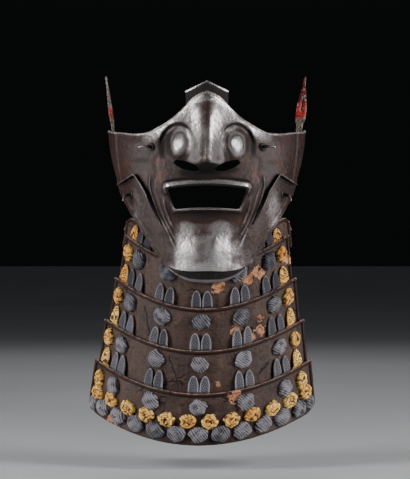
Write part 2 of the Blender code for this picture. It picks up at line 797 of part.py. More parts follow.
def lame_rows(lame, angle):
    """Points down one column of a lame, with the rolled rim at its top and ends."""
    to_end = (lame.half_angle - abs(angle)) * lame.radius
    top = corner_cut(to_end, CORNER_RADIUS) if lame is LAMES[0] else 0.0
    bottom = lame.drop
    if lame is LAMES[-1]:
        bottom -= corner_cut(to_end, CORNER_RADIUS)
    end_rim = 1.0 - smooth_step(RIM_CREST_AT_END * RIM_WIDTH, RIM_WIDTH, to_end)
    rows = []
    for down in (top, top + RIM_CREST * RIM_WIDTH, top + RIM_WIDTH, bottom):
        top_rim = 1.0 - smooth_step(RIM_CREST * RIM_WIDTH, RIM_WIDTH, down - top)
        rows.append(lame_point(lame, angle, down, RIM_RISE * max(float(top_rim), float(end_rim))))
    return rows


def hole_prism(lame, angle, down):
    """A short bar through a lame, for a lace hole."""
    rings = []
    for out in (-LAME_THICKNESS - HOLE_REACH, HOLE_REACH):
        ring = []
        for i in range(4):
            turn = math.pi / 4 + i * math.pi / 2
            aside = angle + HOLE_RADIUS * math.cos(turn) / lame.radius
            ring.append(lame_point(lame, aside, down + HOLE_RADIUS * math.sin(turn), out))
        rings.append(ring)
    return rings


def pad_drop(lame, angle):
    """How far below its lame's rim a pad sits."""
    share = math.sin(angle) / math.sin(lame.half_angle)
    return PAD_DROP + PAD_DROP_AT_EDGE * share ** 2


def knot_angles(count):
    """Angles of the knots in a row on the bottom lame."""
    angles = [(i - 0.5 * (count - 1)) * KNOT_STEP for i in range(count)]
    return [max(-KNOT_LAST, min(KNOT_LAST, angle)) for angle in angles]


def lame_holes(index):
    """The lace holes through one lame, as an angle and a distance below its rim."""
    lame = LAMES[index]
    holes = []
    if index > 0:
        holes += [(lace.angle, pad_drop(lame, lace.angle)) for lace in laces_at(index)]
    if lame is LAMES[-1]:
        for row in KNOT_ROWS:
            holes += [(angle, row.drop) for angle in knot_angles(row.count)]
    return holes


def make_lame(index, part, cutters):
    """One curved lacquered lame with its lace holes."""
    lame = LAMES[index]
    points = np.array([lame_rows(lame, angle) for angle in lame_angles(lame)])
    plate = add_object(lame.name, grid_mesh(lame.name, points), part, "brown_lacquer")
    thicken(plate, LAME_THICKNESS)
    holes = [hole_prism(lame, angle, down) for angle, down in lame_holes(index)]
    if holes:
        cut(plate, add_cutter(lame.name + "_holes", holes, cutters))


def laces_at(index):
    """The laces that hang one lame from the lame above; the chin leaves no room for one."""
    if index == 1:
        return [lace for lace in LACES if lace.name != "middle"]
    return LACES


def pad_rings(lame, angle, down, width, height, behind):
    """A pad or knot on a lame's face with a stub through the hole, ring by ring."""
    profile = [
        (STUB_RADIUS, STUB_RADIUS, -behind),
        (STUB_RADIUS, STUB_RADIUS, CLEARANCE),
        (0.5 * width, 0.5 * height, CLEARANCE),
        (0.5 * PAD_CREST * width, 0.5 * PAD_CREST * height, PAD_RISE),
    ]
    rings = []
    for half_width, half_height, out in profile:
        ring = []
        for i in range(PAD_SIDES):
            turn = 2 * math.pi * i / PAD_SIDES
            aside = angle + half_width * math.cos(turn) / lame.radius
            ring.append(lame_point(lame, aside, down - half_height * math.sin(turn), out))
        rings.append(ring)
    return rings


def petal_outline(lace, length):
    """A lace's band with its pointed petals, across and upward from the lower lame's rim."""
    neck = 0.5 * PETAL_WIDTH + 0.5 * lace.spacing * (lace.petals - 1)
    tail = BAND_TAPER * neck
    end = -PAD_DROP - BAND_TAIL
    outline = [(-tail, end), (tail, end), (neck, PETAL_FOOT), (neck, PETAL_SHOULDER)]
    for i in reversed(range(lace.petals)):
        middle = lace.spacing * (i - 0.5 * (lace.petals - 1))
        outline.append((middle, length))
        if i:
            outline.append((middle - 0.5 * lace.spacing, PETAL_FORK))
    return outline + [(-neck, PETAL_SHOULDER), (-neck, PETAL_FOOT)]


def rim_drop(upper, lower, angle):
    """How far the lower lame's rim is below the upper lame's, at an angle round from the middle."""
    steeper = upper.rise / math.sin(upper.half_angle) ** 2 - lower.rise / math.sin(lower.half_angle) ** 2
    return upper.height - lower.height + steeper * math.sin(angle) ** 2


def make_lace(index, lace, part):
    """One lace: petals on the upper lame, a band behind the lower rim, a pad on its face."""
    upper = LAMES[index - 1]
    lower = LAMES[index]
    rim = rim_drop(upper, lower, lace.angle)
    length = min(PETAL_LENGTH, rim - RIM_WIDTH - 2.0 * CLEARANCE)
    rings = []
    for out in (BAND_LIFT, BAND_LIFT + BAND_THICKNESS):
        ring = []
        for across, up in petal_outline(lace, length):
            ring.append(lame_point(upper, lace.angle + across / upper.radius, rim - up, out))
        rings.append(ring)
    name = "lace_" + str(index) + "_" + lace.name
    finish = lace.colour + "_lace"
    band = add_object(name, prism_mesh(name, [rings]), part, finish)
    down = pad_drop(lower, lace.angle)
    behind = LAME_THICKNESS + CLEARANCE + 0.5 * BAND_THICKNESS
    pad = pad_rings(lower, lace.angle, down, lace.pad_width, lace.pad_height, behind)
    fuse(band, [pad])


def fuse(thing, solids):
    """Join more closed solids to an object with a union."""
    name = thing.name + "_pads"
    other = add_object(name, prism_mesh(name, solids), bpy.data.collections["cutters"])
    other.hide_render = True
    other.display_type = "WIRE"
    union = thing.modifiers.new("Union", "BOOLEAN")
    union.operation = "UNION"
    union.object = other


def make_knot_row(row, part):
    """A row of knots on the bottom lame, joined by a cord that runs behind it."""
    lame = LAMES[-1]
    angles = knot_angles(row.count)
    behind = LAME_THICKNESS + CLEARANCE
    columns = []
    for angle in np.linspace(angles[0] - ROW_CORD_END, angles[-1] + ROW_CORD_END, ROW_CORD_COLUMNS):
        downs = (row.drop - ROW_CORD_HALF_HEIGHT, row.drop + ROW_CORD_HALF_HEIGHT)
        columns.append([lame_point(lame, angle, down, -behind) for down in downs])
    cord = add_object(row.name, grid_mesh(row.name, np.array(columns)), part, row.colour + "_lace")
    thicken(cord, BAND_THICKNESS)
    knots = []
    for angle in angles:
        across = END_KNOT_WIDTH if abs(angle) == KNOT_LAST else row.width
        reach = behind + 0.5 * BAND_THICKNESS
        knots.append(pad_rings(lame, angle, row.drop, across, KNOT_HEIGHT * row.width, reach))
    fuse(cord, knots)


def clear_scene():
    """Remove what the scene starts with."""
    for thing in list(bpy.data.objects):
        bpy.data.objects.remove(thing, do_unlink=True)


def make_face_guard():
    """Build every piece of the face guard."""
    clear_scene()
    part = make_collection("samurai_face_guard")
    cutters = make_collection("cutters")
    make_face_plate(part, cutters)
    make_nose_bridge_plate(part)
    make_chin_flange(part)
    for flap in FLAPS:
        make_ear_flap(flap, part)
    for side_name, hand in (("left", -1), ("right", 1)):
        make_cord_guard("cord_guard_" + side_name, hand, part)
        for hook in HOOKS:
            make_hook(hook, side_name, hand, part)
    for index in range(len(LAMES)):
        make_lame(index, part, cutters)
    for index in range(1, len(LAMES)):
        for lace in laces_at(index):
            make_lace(index, lace, part)
    for row in KNOT_ROWS:
        make_knot_row(row, part)


make_face_guard()
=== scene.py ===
from collections import namedtuple
import math

import bpy
import numpy as np
from mathutils import Matrix, Vector


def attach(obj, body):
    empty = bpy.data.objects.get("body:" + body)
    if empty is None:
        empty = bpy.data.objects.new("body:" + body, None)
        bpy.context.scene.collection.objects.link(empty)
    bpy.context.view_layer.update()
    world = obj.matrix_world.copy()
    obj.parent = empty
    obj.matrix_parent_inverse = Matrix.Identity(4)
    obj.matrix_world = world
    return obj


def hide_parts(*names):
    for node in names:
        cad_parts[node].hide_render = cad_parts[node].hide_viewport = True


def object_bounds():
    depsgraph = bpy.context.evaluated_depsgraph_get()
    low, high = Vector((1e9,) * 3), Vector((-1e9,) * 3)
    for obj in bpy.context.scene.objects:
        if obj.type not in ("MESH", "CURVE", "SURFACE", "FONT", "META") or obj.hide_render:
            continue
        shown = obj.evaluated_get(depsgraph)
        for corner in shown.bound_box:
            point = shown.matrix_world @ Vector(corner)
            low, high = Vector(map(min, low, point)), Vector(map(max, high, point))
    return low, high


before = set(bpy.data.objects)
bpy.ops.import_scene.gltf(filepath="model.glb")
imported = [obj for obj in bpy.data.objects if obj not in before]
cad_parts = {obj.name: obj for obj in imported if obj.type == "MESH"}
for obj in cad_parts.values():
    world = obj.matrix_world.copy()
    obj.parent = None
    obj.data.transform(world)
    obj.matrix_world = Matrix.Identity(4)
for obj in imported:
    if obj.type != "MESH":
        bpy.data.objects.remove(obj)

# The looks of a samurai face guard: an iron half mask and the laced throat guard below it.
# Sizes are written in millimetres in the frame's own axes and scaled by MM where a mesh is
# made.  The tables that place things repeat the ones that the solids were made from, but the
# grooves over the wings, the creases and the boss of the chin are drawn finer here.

MM = 0.001
cad_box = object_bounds()

FACE_THICKNESS = 1.6
SMALL_PLATE = 1.5
LAME_THICKNESS = 1.8
PLATE_EDGE = 0.35
SHARP_ANGLE = math.radians(42)
BEVEL_ANGLE = math.radians(55)

# The face shell: a row for each level, from the jaw's edge (0) to the top edge (1)
Level = namedtuple("Level", "level half_width front reach")
LEVELS = [
    Level(0.00, 71.8, 19.5, 58.5),
    Level(0.25, 74.4, 23.0, 65.0),
    Level(0.50, 77.3, 24.0, 68.0),
    Level(0.75, 79.3, 20.0, 65.5),
    Level(1.00, 80.3, 11.5, 58.0),
]
REAR_TURN = math.radians(101)

# Where something starts and ends
Fade = namedtuple("Fade", "low high")

# A place as seen from the front
Place = namedtuple("Place", "across height")


def path(*pairs):
    """Places in a row, each given by how far across from the middle it is and how high."""
    return [Place(*pair) for pair in pairs]


# The shell's long edges
JAW_EDGE = path(
    (0.0, -0.5), (18.3, -0.3), (27.7, 1.8), (37.2, 7.5), (43.1, 16.8), (50.3, 28.6), (58.7, 41.5),
    (66.4, 54.9), (71.8, 69.1),
)
TOP_EDGE = path(
    (0.0, 141.8), (6.0, 139.4), (12.0, 135.7), (18.3, 128.9), (27.8, 120.9), (37.2, 115.2),
    (46.8, 110.4), (55.8, 109.4), (68.2, 110.8), (80.3, 113.8),
)

# The nose, a row for each height: how far it stands out and how wide it is
Nose = namedtuple("Nose", "height rise half_width")
NOSE = [
    Nose(76.0, 0.0, 15.0),
    Nose(79.0, 4.0, 15.0),
    Nose(82.5, 15.0, 14.5),
    Nose(86.0, 20.5, 14.5),
    Nose(92.0, 21.0, 15.0),
    Nose(104.0, 19.5, 17.5),
    Nose(118.0, 17.5, 23.0),
    Nose(132.0, 15.5, 30.0),
    Nose(150.0, 12.0, 36.0),
]
NOSE_SPREAD = 1.25
NOSE_ROUND = 0.12
NOSE_BLEND = 0.14

# The wing on each side of the nose and the groove arched over it
WING_ACROSS = 23.0
WING_HEIGHT = 99.5
WING_HALF_WIDTH = 11.8
WING_HALF_HEIGHT = 14.8
WING_RISE = 8.5
WING_SIDE = Fade(0.15, 1.0)
WING_FOOT = Fade(79.0, 86.0)
WING_GROOVE = 2.4
WING_GROOVE_AT = 1.12
WING_GROOVE_WIDTH = 0.10
WING_GROOVE_END = Fade(-0.2, 0.6)
WING_GROOVE_INSIDE = Fade(-1.0, -0.4)

# The fold from the wing down past the mouth, and the creases outside it
LAUGH_LINE = path((34.0, 50.0), (37.5, 62.0), (41.0, 76.0), (42.0, 87.0), (37.0, 98.0))
CREASES = [
    path((25.0, 16.0), (30.5, 29.0), (39.6, 47.0), (43.4, 58.0), (45.8, 69.0), (44.2, 80.0)),
    path((25.2, 24.0), (31.1, 36.0), (34.8, 45.0), (38.4, 55.0), (41.4, 66.0), (40.6, 76.0)),
    path((26.4, 32.0), (29.4, 39.0), (32.4, 47.0), (35.6, 60.0)),
]
LAUGH_STEP = 2.4
LAUGH_SIDE = Fade(-4.0, 3.5)
LAUGH_BOTTOM = Fade(44.0, 60.0)
LAUGH_TOP = Fade(86.0, 104.0)
CREASE_RISE = 1.0
CREASE_WIDTH = 1.2

# The mouth: its edges at the middle, how far they bow, and its slanting sides
MOUTH_TOP = 67.4
MOUTH_TOP_BOW = 2.7
MOUTH_BOTTOM = 48.6
MOUTH_BOTTOM_BOW = 1.3
MOUTH_HALF_TOP = 33.3
MOUTH_HALF_BOTTOM = 26.3
MOUTH_CORNER = 0.9
MOUTH_SLOPE = (MOUTH_HALF_TOP - MOUTH_HALF_BOTTOM) / (MOUTH_TOP - MOUTH_BOTTOM)
UPPER_LIP = 4.6
UPPER_LIP_RISE = 3.4
UPPER_LIP_UNDERSIDE = Fade(-6.0, -2.0)
UPPER_LIP_END = Fade(31.0, 37.0)
LOWER_LIP_RISE = 1.4
LOWER_LIP_EDGE = Fade(0.8, 3.0)
LOWER_LIP_TOP = Fade(-3.0, 1.0)

# The chin and the cheeks
CHIN_HEIGHT = 16.5
CHIN_HALF_WIDTH = 17.5
CHIN_HALF_HEIGHT = 17.0
CHIN_RISE = 6.8
LIP_HOLLOW_HEIGHT = 42.5
LIP_HOLLOW_HALF_HEIGHT = 5.0
LIP_HOLLOW_HALF_WIDTH = 24.0
LIP_HOLLOW = 4.5
JAW_FLARE = 1.6
JAW_FLARE_TOP = Fade(-1.0, 9.0)
JAW_FLARE_END = Fade(22.0, 36.0)
CHEEKBONE_ACROSS = 52.0
CHEEKBONE_HEIGHT = 101.0
CHEEKBONE_HALF_WIDTH = 17.0
CHEEKBONE_HALF_HEIGHT = 9.0
CHEEKBONE_RISE = 3.0
REAR_STRIP_SIDE = Fade(0.647, 0.663)
REAR_STRIP_BOTTOM = Fade(0.0, 0.3)
REAR_STRIP_RISE = 0.9

# The nostrils
NOSTRIL_ACROSS = 16.2
NOSTRIL_HEIGHT = 82.3
NOSTRIL_HALF_LENGTH = 10.8
NOSTRIL_HALF_HEIGHT = 3.4
NOSTRIL_TILT = math.radians(20)

# The face shell's fine grid: where each span of side or level ends, and its number of steps
FACE_COLUMNS = [(0.27, 50), (0.52, 38), (0.64, 12), (0.67, 5), (1.0, 16)]
FACE_ROWS = [(0.02, 3), (0.28, 33), (0.52, 44), (0.64, 28), (0.98, 46), (1.0, 3)]

# Bands along the shell's edges, and the small dents in its face
JAW_BAND = 5.0
JAW_BAND_RISE = 0.55
JAW_BAND_START = 36.0
TOP_BAND = 1.6
TOP_BAND_RISE = 0.45
Dent = namedtuple("Dent", "across height radius depth")
DENTS = [
    Dent(-1.5, 20.0, 2.0, 0.45),
    Dent(33.0, 33.5, 1.6, 0.50),
    Dent(30.5, 29.0, 1.1, 0.40),
    Dent(-60.5, 46.5, 1.8, 0.50),
    Dent(-55.0, 62.0, 2.4, 0.40),
    Dent(58.0, 55.0, 2.2, 0.35),
    Dent(-33.0, 27.0, 2.6, 0.35),
    Dent(12.0, 12.0, 2.4, 0.30),
    Dent(41.0, 100.0, 1.5, 0.30),
    Dent(-64.0, 88.0, 2.0, 0.35),
]

# Where the iron is rubbed bright with painted highlights, and where painted shade makes it darker than its
# neighbourhood: soft ovals
Patch = namedtuple("Patch", "across height half_width half_height strength")
PATCH_EDGE = Fade(0.2, 1.2)
# Rubbed bright patches with painted highlights laid on them: the nose's flanks, the wings, the chin and the
# lower cheeks
POLISHED_AND_HIGHLIT = [
    Patch(-11.0, 109.0, 9.0, 34.0, 1.0),
    Patch(7.5, 106.0, 8.5, 36.0, 1.0),
    Patch(17.0, 122.0, 11.0, 20.0, 0.85),
    Patch(-21.6, 102.0, 8.0, 13.0, 1.3),
    Patch(23.8, 100.0, 8.0, 12.0, 1.3),
    Patch(1.0, 10.0, 38.0, 36.0, 0.62),
    Patch(-16.0, 8.0, 13.0, 38.0, 1.15),
    Patch(11.0, 10.0, 12.0, 40.0, 1.25),
    Patch(0.0, 2.0, 34.0, 7.5, 1.3),
    Patch(-56.0, 50.0, 10.0, 20.0, 0.25),
    Patch(54.0, 46.0, 11.0, 22.0, 0.50),
]
# Painted shade and dark reflections that dim the rubbed iron: along the nose's ridge, in the chin's middle
# and under the mouth
PAINTED_SHADE_ON_POLISHED = [
    Patch(0.6, 104.0, 2.4, 34.0, 0.55),
    Patch(-3.0, 102.0, 6.5, 30.0, 0.12),
    Patch(-3.0, 24.0, 6.0, 26.0, 0.20),
    Patch(0.0, 44.0, 36.0, 7.0, 0.35),
]
# Painted shade and cast shadows: under the nose, outside the wings, below the cheekbones and under the lower
# lip's edge
SHADED = [
    Patch(-5.0, 77.6, 22.0, 8.5, 1.25),
    Patch(15.0, 79.5, 15.0, 4.5, 0.80),
    Patch(1.0, 81.5, 13.0, 3.8, 1.40),
    Patch(-31.0, 100.0, 4.5, 14.0, 0.50),
    Patch(-36.0, 98.5, 4.5, 14.0, 0.75),
    Patch(32.5, 99.0, 4.0, 13.0, 0.45),
    Patch(37.0, 97.5, 4.0, 13.0, 0.65),
    Patch(-53.0, 87.5, 15.0, 4.5, 0.42),
    Patch(54.0, 86.0, 14.0, 4.5, 0.38),
    Patch(0.0, 46.4, 26.0, 1.8, 0.55),
]
RUSTY = [
    Patch(-36.0, 77.0, 7.0, 16.0, 1.0),
    Patch(36.0, 76.0, 7.0, 15.0, 0.9),
    Patch(-64.0, 84.0, 12.0, 14.0, 0.6),
    Patch(64.0, 84.0, 12.0, 14.0, 0.6),
    Patch(0.0, 86.0, 8.0, 4.0, 0.6),
]
# Rubbed bright bands with painted highlights on them: along the upper lip, the chin's lower edge and under
# the top edge
LIP_POLISH_AND_HIGHLIGHT = 1.1
LIP_POLISH_AND_HIGHLIGHT_ABOVE = 1.4
LIP_POLISH_AND_HIGHLIGHT_WIDTH = 1.5
LIP_POLISH_AND_HIGHLIGHT_END = Fade(33.0, 37.0)
JAW_POLISH_AND_HIGHLIGHT = 0.9
JAW_POLISH_AND_HIGHLIGHT_TOP = Fade(1.5, 5.5)
JAW_POLISH_AND_HIGHLIGHT_END = Fade(20.0, 32.0)
TOP_BAND_POLISH_AND_HIGHLIGHT = 0.9
TOP_BAND_POLISH_AND_HIGHLIGHT_BELOW = 3.5
TOP_BAND_POLISH_AND_HIGHLIGHT_WIDTH = 4.5
TOP_BAND_POLISH_AND_HIGHLIGHT_END = Fade(40.0, 58.0)

# Creases get painted shade within a fine and a broad reach, and the mouth has a painted highlight on its rim
# below and painted shade on its rim above
FINE_REACH = 1.6
BROAD_REACH = 3.6
BROAD_SHARE = 0.3
LOWER_RIM = Fade(0.1, 0.6)
LOWER_RIM_TOP = Fade(MOUTH_BOTTOM + 0.5, MOUTH_BOTTOM + 2.5)
UPPER_RIM = Fade(0.7, 1.3)
UPPER_RIM_BOTTOM = Fade(52.0, 58.0)

# The plate behind the bridge of the nose
BRIDGE_TOP = 151.2
BRIDGE_SLOPE = 8.4
BRIDGE_HIDDEN = 9.0
BRIDGE_HALF_WIDTH = 18.5
BRIDGE_DEPTH = 2.55
BRIDGE_ROLL = Fade(0.6, 1.8)
BRIDGE_ROLL_RISE = 0.5

# The crescent band under the chin
FLANGE_HALF_LENGTH = 31.0
FLANGE_HIDDEN = 5.0
FLANGE_DEPTH = FACE_THICKNESS + 0.85
FLANGE_CLEARANCE = 2.4
FLANGE_END_DROP = 1.6
FLANGE_DROP = 8.2
FLANGE_BEAD = 0.5
FLANGE_BEAD_WIDTH = 1.2

# The ear plates: the middle of each one's base, how far it turns in behind, and where its red ends
Flap = namedtuple("Flap", "side_name hand across toe")
FLAPS = [Flap("left", -1, 77.2, math.radians(3)), Flap("right", 1, 75.8, math.radians(16))]
FLAP_BACK = 47.0
FLAP_HEIGHT = 114.5
FLAP_LEAN = math.radians(8)
FLAP_EDGE = 0.25
RED_FOOT = 122.5
RED_TOP_LEFT = 131.0
RED_BRIGHT_TOP = 135.0
FLAP_OUTLINE = [
    (-4.5, -9.5), (4.5, -9.5), (6.5, 3.5), (11.0, 8.0), (12.5, 17.0), (9.5, 27.0), (5.0, 36.0), (2.5, 45.0),
    (-0.5, 36.0), (-6.0, 27.0), (-10.5, 17.0), (-10.5, 8.0), (-6.5, 3.5),
]

# The slots through an ear plate: the middle's height, half width, half height and number of corners
FLAP_SLOTS = [(22.0, 3.6, 9.5, 36), (4.5, 2.2, 2.4, 24)]

# The cord guards, the hooks and the pegs
GUARD_PATH = path(
    (69.0, 69.5), (62.5, 72.8), (56.2, 76.3), (54.3, 73.6), (50.1, 66.9), (44.8, 58.3),
    (41.6, 50.5), (38.9, 43.5), (36.0, 36.5),
)
GUARD_HEIGHT = 4.4
GUARD_END_HEIGHT = 1.6
GUARD_SUNK = 0.2
GUARD_THICKNESS = 1.2
Hook = namedtuple("Hook", "name across height bend")
HOOKS = [Hook("cheek_hook", 44.5, 98.0, (7.0, 3.0, -1.0)), Hook("jaw_peg", 61.0, 60.5, (1.0, 1.0, -4.0))]
HOOK_RADIUS = 1.5
HOOK_TAPER = 0.45
HOOK_REACH = 6.3
HOOK_STRAIGHT = 4.0

# The washer at a hook's foot: radius, and distance out of the shell
WASHER = [(2.1, -0.3), (3.3, -0.2), (3.3, 0.45), (3.0, 0.75), (2.2, 0.9), (1.5, 0.9)]

# The throat guard: a row for each lame, from the top
Lame = namedtuple("Lame", "name height radius front rise drop half_angle")
LAMES = [
    Lame("throat_lame_top", 21.0, 71.9, 6.7, 24.0, 26.0, math.radians(65)),
    Lame("throat_lame_upper", 4.3, 77.9, 11.0, 24.3, 43.0, math.radians(57)),
    Lame("throat_lame_middle", -30.3, 86.4, 16.0, 24.3, 42.0, math.radians(57)),
    Lame("throat_lame_lower", -63.7, 94.9, 21.0, 24.0, 42.0, math.radians(57)),
    Lame("throat_lame_bottom", -97.1, 103.4, 26.0, 25.0, 40.6, math.radians(57)),
]
LAME_FLARE = 0.145
LAME_LEAN = 0.042
RIM_WIDTH = 2.6
RIM_RISE = 1.6
RIM_STEPS = np.array([0.0, 0.08, 0.3, 0.65, 1.05, 1.5, 1.9, 2.2, 2.45, 2.6, 2.8, 3.1, 3.5])
CORNER_RADIUS = 11.0
LAME_STEP = 0.85

# How a lame's face is uneven away from its edges, where a light line of wear and painted highlight runs along
# its edges, where a painted shadow line runs inside its rims, and where it's chipped
UNEVEN = Fade(2.0, 7.0)
EDGE_WEAR_AND_HIGHLIGHT = Fade(0.25, 1.1)
RIM_SHADOW_AT = 3.0
RIM_SHADOW_WIDTH = 0.45
CHIP_EDGE = Fade(0.2, 1.9)

# How the guard hangs: a little to one side, leaning and turned
HANG_SHIFT = -1.2
HANG_LEAN = 0.03
HANG_TURN = math.radians(-2.2)

# Where the lacquer has flaked off: the lame's number, how far round and how far down
Chip = namedtuple("Chip", "lame around down radius")
CHIPS = [
    Chip(1, 36.0, 17.4, 4.4),
    Chip(1, 46.2, 19.1, 4.2),
    Chip(1, 42.0, 13.7, 3.0),
    Chip(1, 74.5, 18.6, 4.0),
    Chip(1, 10.9, 18.3, 4.2),
    Chip(1, -6.0, 27.5, 2.5),
    Chip(2, 47.3, 17.2, 2.8),
    Chip(2, 46.8, 26.6, 4.4),
    Chip(2, 26.6, 21.0, 4.0),
    Chip(2, 33.5, 24.6, 3.2),
    Chip(2, 39.8, 27.8, 3.2),
    Chip(2, -38.0, 27.0, 2.2),
    Chip(3, 13.0, 27.0, 2.4),
    Chip(4, 27.5, 3.4, 5.0),
    Chip(4, -73.9, 36.6, 4.0),
    Chip(4, -67.6, 36.5, 3.6),
    Chip(4, 33.0, 16.0, 2.2),
]

# Laces: a row for each column of them
Lace = namedtuple("Lace", "name angle colour pad_width pad_height petals spacing petal_width")
LACES = [
    Lace("middle", math.radians(-0.5), "grey", 13.4, 12.2, 2, 8.2, 7.5),
    Lace("inner_left", math.radians(-21.7), "grey", 12.6, 13.2, 2, 8.0, 7.0),
    Lace("inner_right", math.radians(20.2), "grey", 12.6, 13.2, 2, 8.0, 6.8),
    Lace("outer_left", math.radians(-41.6), "grey", 11.0, 14.0, 2, 8.2, 6.6),
    Lace("outer_right", math.radians(39.2), "grey", 11.6, 13.4, 2, 8.4, 6.6),
    Lace("edge_left", math.radians(-50.9), "yellow", 9.4, 12.4, 1, 0.0, 8.6),
    Lace("edge_right", math.radians(48.8), "yellow", 9.4, 12.4, 1, 0.0, 8.6),
]
PAD_DROP = 10.8
PAD_DROP_AT_EDGE = 0.6
PAD_RISE = 4.0
PETAL_LENGTH = 14.0
STUB_RADIUS = 1.0
HOLE_RADIUS = 2.1
CORD_SLANT = math.radians(50)
CORD_SLANT_TURN = 0.16
CORD_PITCH = 1.6
CORD_LIFT = 0.7
CORD_BEND = 0.45
CORD_BEND_SIZE = 12.0
STRAND_DEPTH = 0.14
TWIST_LENGTH = 1.3
TWIST_RISE = 0.10
LUMP_SIZE = 6.0
LUMP_RISE = 0.22
OUTLINE_WOBBLE = 0.032

# A knot's crossing folds, its lumps and the slits between them, which are painted dark as shade
FOLD_PITCHES = (2.7, 3.3)
FOLD_TURN = 1.3
FOLD_BEND = 0.8
FOLD_BEND_SIZE = 7.0
FOLD_RISE = 1.0
KNOT_LUMP_SIZE = 5.0
KNOT_LUMP_RISE = 0.35
SLIT_REACH = Fade(0.08, 0.55)
SLIT_LENGTH = Fade(0.12, 0.26)
SLIT_WIDTH = 0.065
SLIT_DEPTH = 1.8

# A petal: how far it stands out, where it narrows to its tip, its woven middle and its cord edges
PETAL_FOOT_RISE = 4.4
PETAL_TIP_RISE = 1.7
PETAL_TUCKED = 4.5
PETAL_TIP_FROM = 0.40
PETAL_SWAY = 0.05
PETAL_SHOWN = Fade(-0.6, 1.8)
PETAL_BORDER = Fade(0.62, 0.85)
PETAL_TIP_BORDER = Fade(0.75, 0.95)
CHEVRON_PITCH = 1.35
CHEVRON_SLANT = 1.1
PLAIT_PITCH = 2.7
PLAIT_STRANDS = 2.5
CRUMPLE_PITCH = 3.6
CRUMPLE_SLANT = 0.35
CRUMPLE_BEND = 0.8
WEAVE_RISE = 0.40
BORDER_RISE = 0.30

# How far the laces have faded from blue, a number for each row of them from the top
FADING = [0.10, 0.35, 0.65, 0.75]

# The knots on the bottom lame
KnotRow = namedtuple("KnotRow", "name colour count drop width height")
KNOT_ROWS = [
    KnotRow("yellow_knot_row", "yellow", 12, 22.2, 12.0, 11.2),
    KnotRow("grey_knot_row", "grey", 13, 32.2, 13.8, 12.4),
]
KNOT_STEP = math.radians(9.2)
KNOT_LAST = math.radians(52.6)
END_KNOT_WIDTH = 8.6

# The studio, in metres
CAMERA_DISTANCE = 1.6
VIEW_WIDTH = 0.328
VIEW_ACROSS = -0.0016
VIEW_HEIGHT = 0.0244
FLOOR_DROP = 0.02
FLOOR_REACH = 12.0
FLOOR_CORNERS = [(-1, -1), (1, -1), (1, 1), (-1, 1)]
Light = namedtuple("Light", "name place size power")
LIGHTS = [
    Light("left_strip", (-0.95, -0.42, 0.16), (0.36, 1.2), 21.0),
    Light("right_strip", (0.96, -0.42, 0.16), (0.36, 1.2), 23.0),
    Light("front_fill", (0.0, -1.9, 0.8), (0.9, 0.5), 0.8),
    Light("rear_fill", (0.0, 1.4, 0.9), (1.0, 0.8), 4.0),
]


# Curves and noise


def smooth_step(low, high, value):
    """Rise smoothly from 0 at low to 1 at high."""
    ratio = np.clip((value - low) / (high - low), 0.0, 1.0)
    return ratio * ratio * (3.0 - 2.0 * ratio)


def fall(low, high, value):
    """Fall smoothly from 1 at low to 0 at high."""
    return 1.0 - smooth_step(low, high, value)


def turned(x, y, angle):
    """Where places lie along a line turned by an angle, and across it."""
    return x * math.cos(angle) + y * math.sin(angle), y * math.cos(angle) - x * math.sin(angle)


def wave(value):
    """Bumps of height 1 between whole numbers, with sharp creases at them."""
    return np.abs(np.sin(math.pi * value))


def bell(offset, width):
    """A bump of height 1, falling off with the distance from its middle."""
    return np.exp(-((offset / width) ** 2))


def column(table, name):
    """One named column of a table."""
    return np.array([getattr(row, name) for row in table], dtype=float)


def curve_through(places, values, at):
    """A smooth curve through the values, straight beyond its ends."""
    slopes = np.gradient(values, places)
    index = np.clip(np.searchsorted(places, at) - 1, 0, len(places) - 2)
    width = places[index + 1] - places[index]
    ratio = np.clip((at - places[index]) / width, 0.0, 1.0)
    cubed = ratio ** 3
    squared = ratio ** 2
    inside = (
        (2 * cubed - 3 * squared + 1) * values[index]
        + (cubed - 2 * squared + ratio) * width * slopes[index]
        + (3 * squared - 2 * cubed) * values[index + 1]
        + (cubed - squared) * width * slopes[index + 1]
    )
    before = np.minimum(at - places[0], 0.0) * slopes[0]
    after = np.maximum(at - places[-1], 0.0) * slopes[-1]
    return inside + before + after


def read(table, key, name, at):
    """A column of a table, read smoothly at places along another of its columns."""
    return curve_through(column(table, key), column(table, name), at)


def steps(spans):
    """Values from 0 along several spans, each an end and a number of steps."""
    values = [0.0]
    for end, count in spans:
        start = values[-1]
        values += [start + (end - start) * (i + 1) / count for i in range(count)]
    return np.array(values)


def ripples(x, y, size, seed, count=9):
    """Smooth unevenness between about -1 and 1, the same each time for a seed."""
    random = np.random.default_rng(seed)
    total = 0.0
    for _ in range(count):
        turn = random.uniform(0.0, math.pi)
        length = size * random.uniform(0.7, 1.6)
        along = turned(x, y, turn)[0] * 2.0 * math.pi / length
        total = total + np.sin(along + random.uniform(0.0, 2.0 * math.pi))
    return total / math.sqrt(2.0 * count)


# Meshes


def quad_grid(rows, columns):
    """The faces of a grid of points, row by row."""
    first = np.arange(rows - 1)[:, None] * columns + np.arange(columns - 1)[None, :]
    return np.stack([first, first + 1, first + columns + 1, first + columns], axis=-1).reshape(-1, 4)


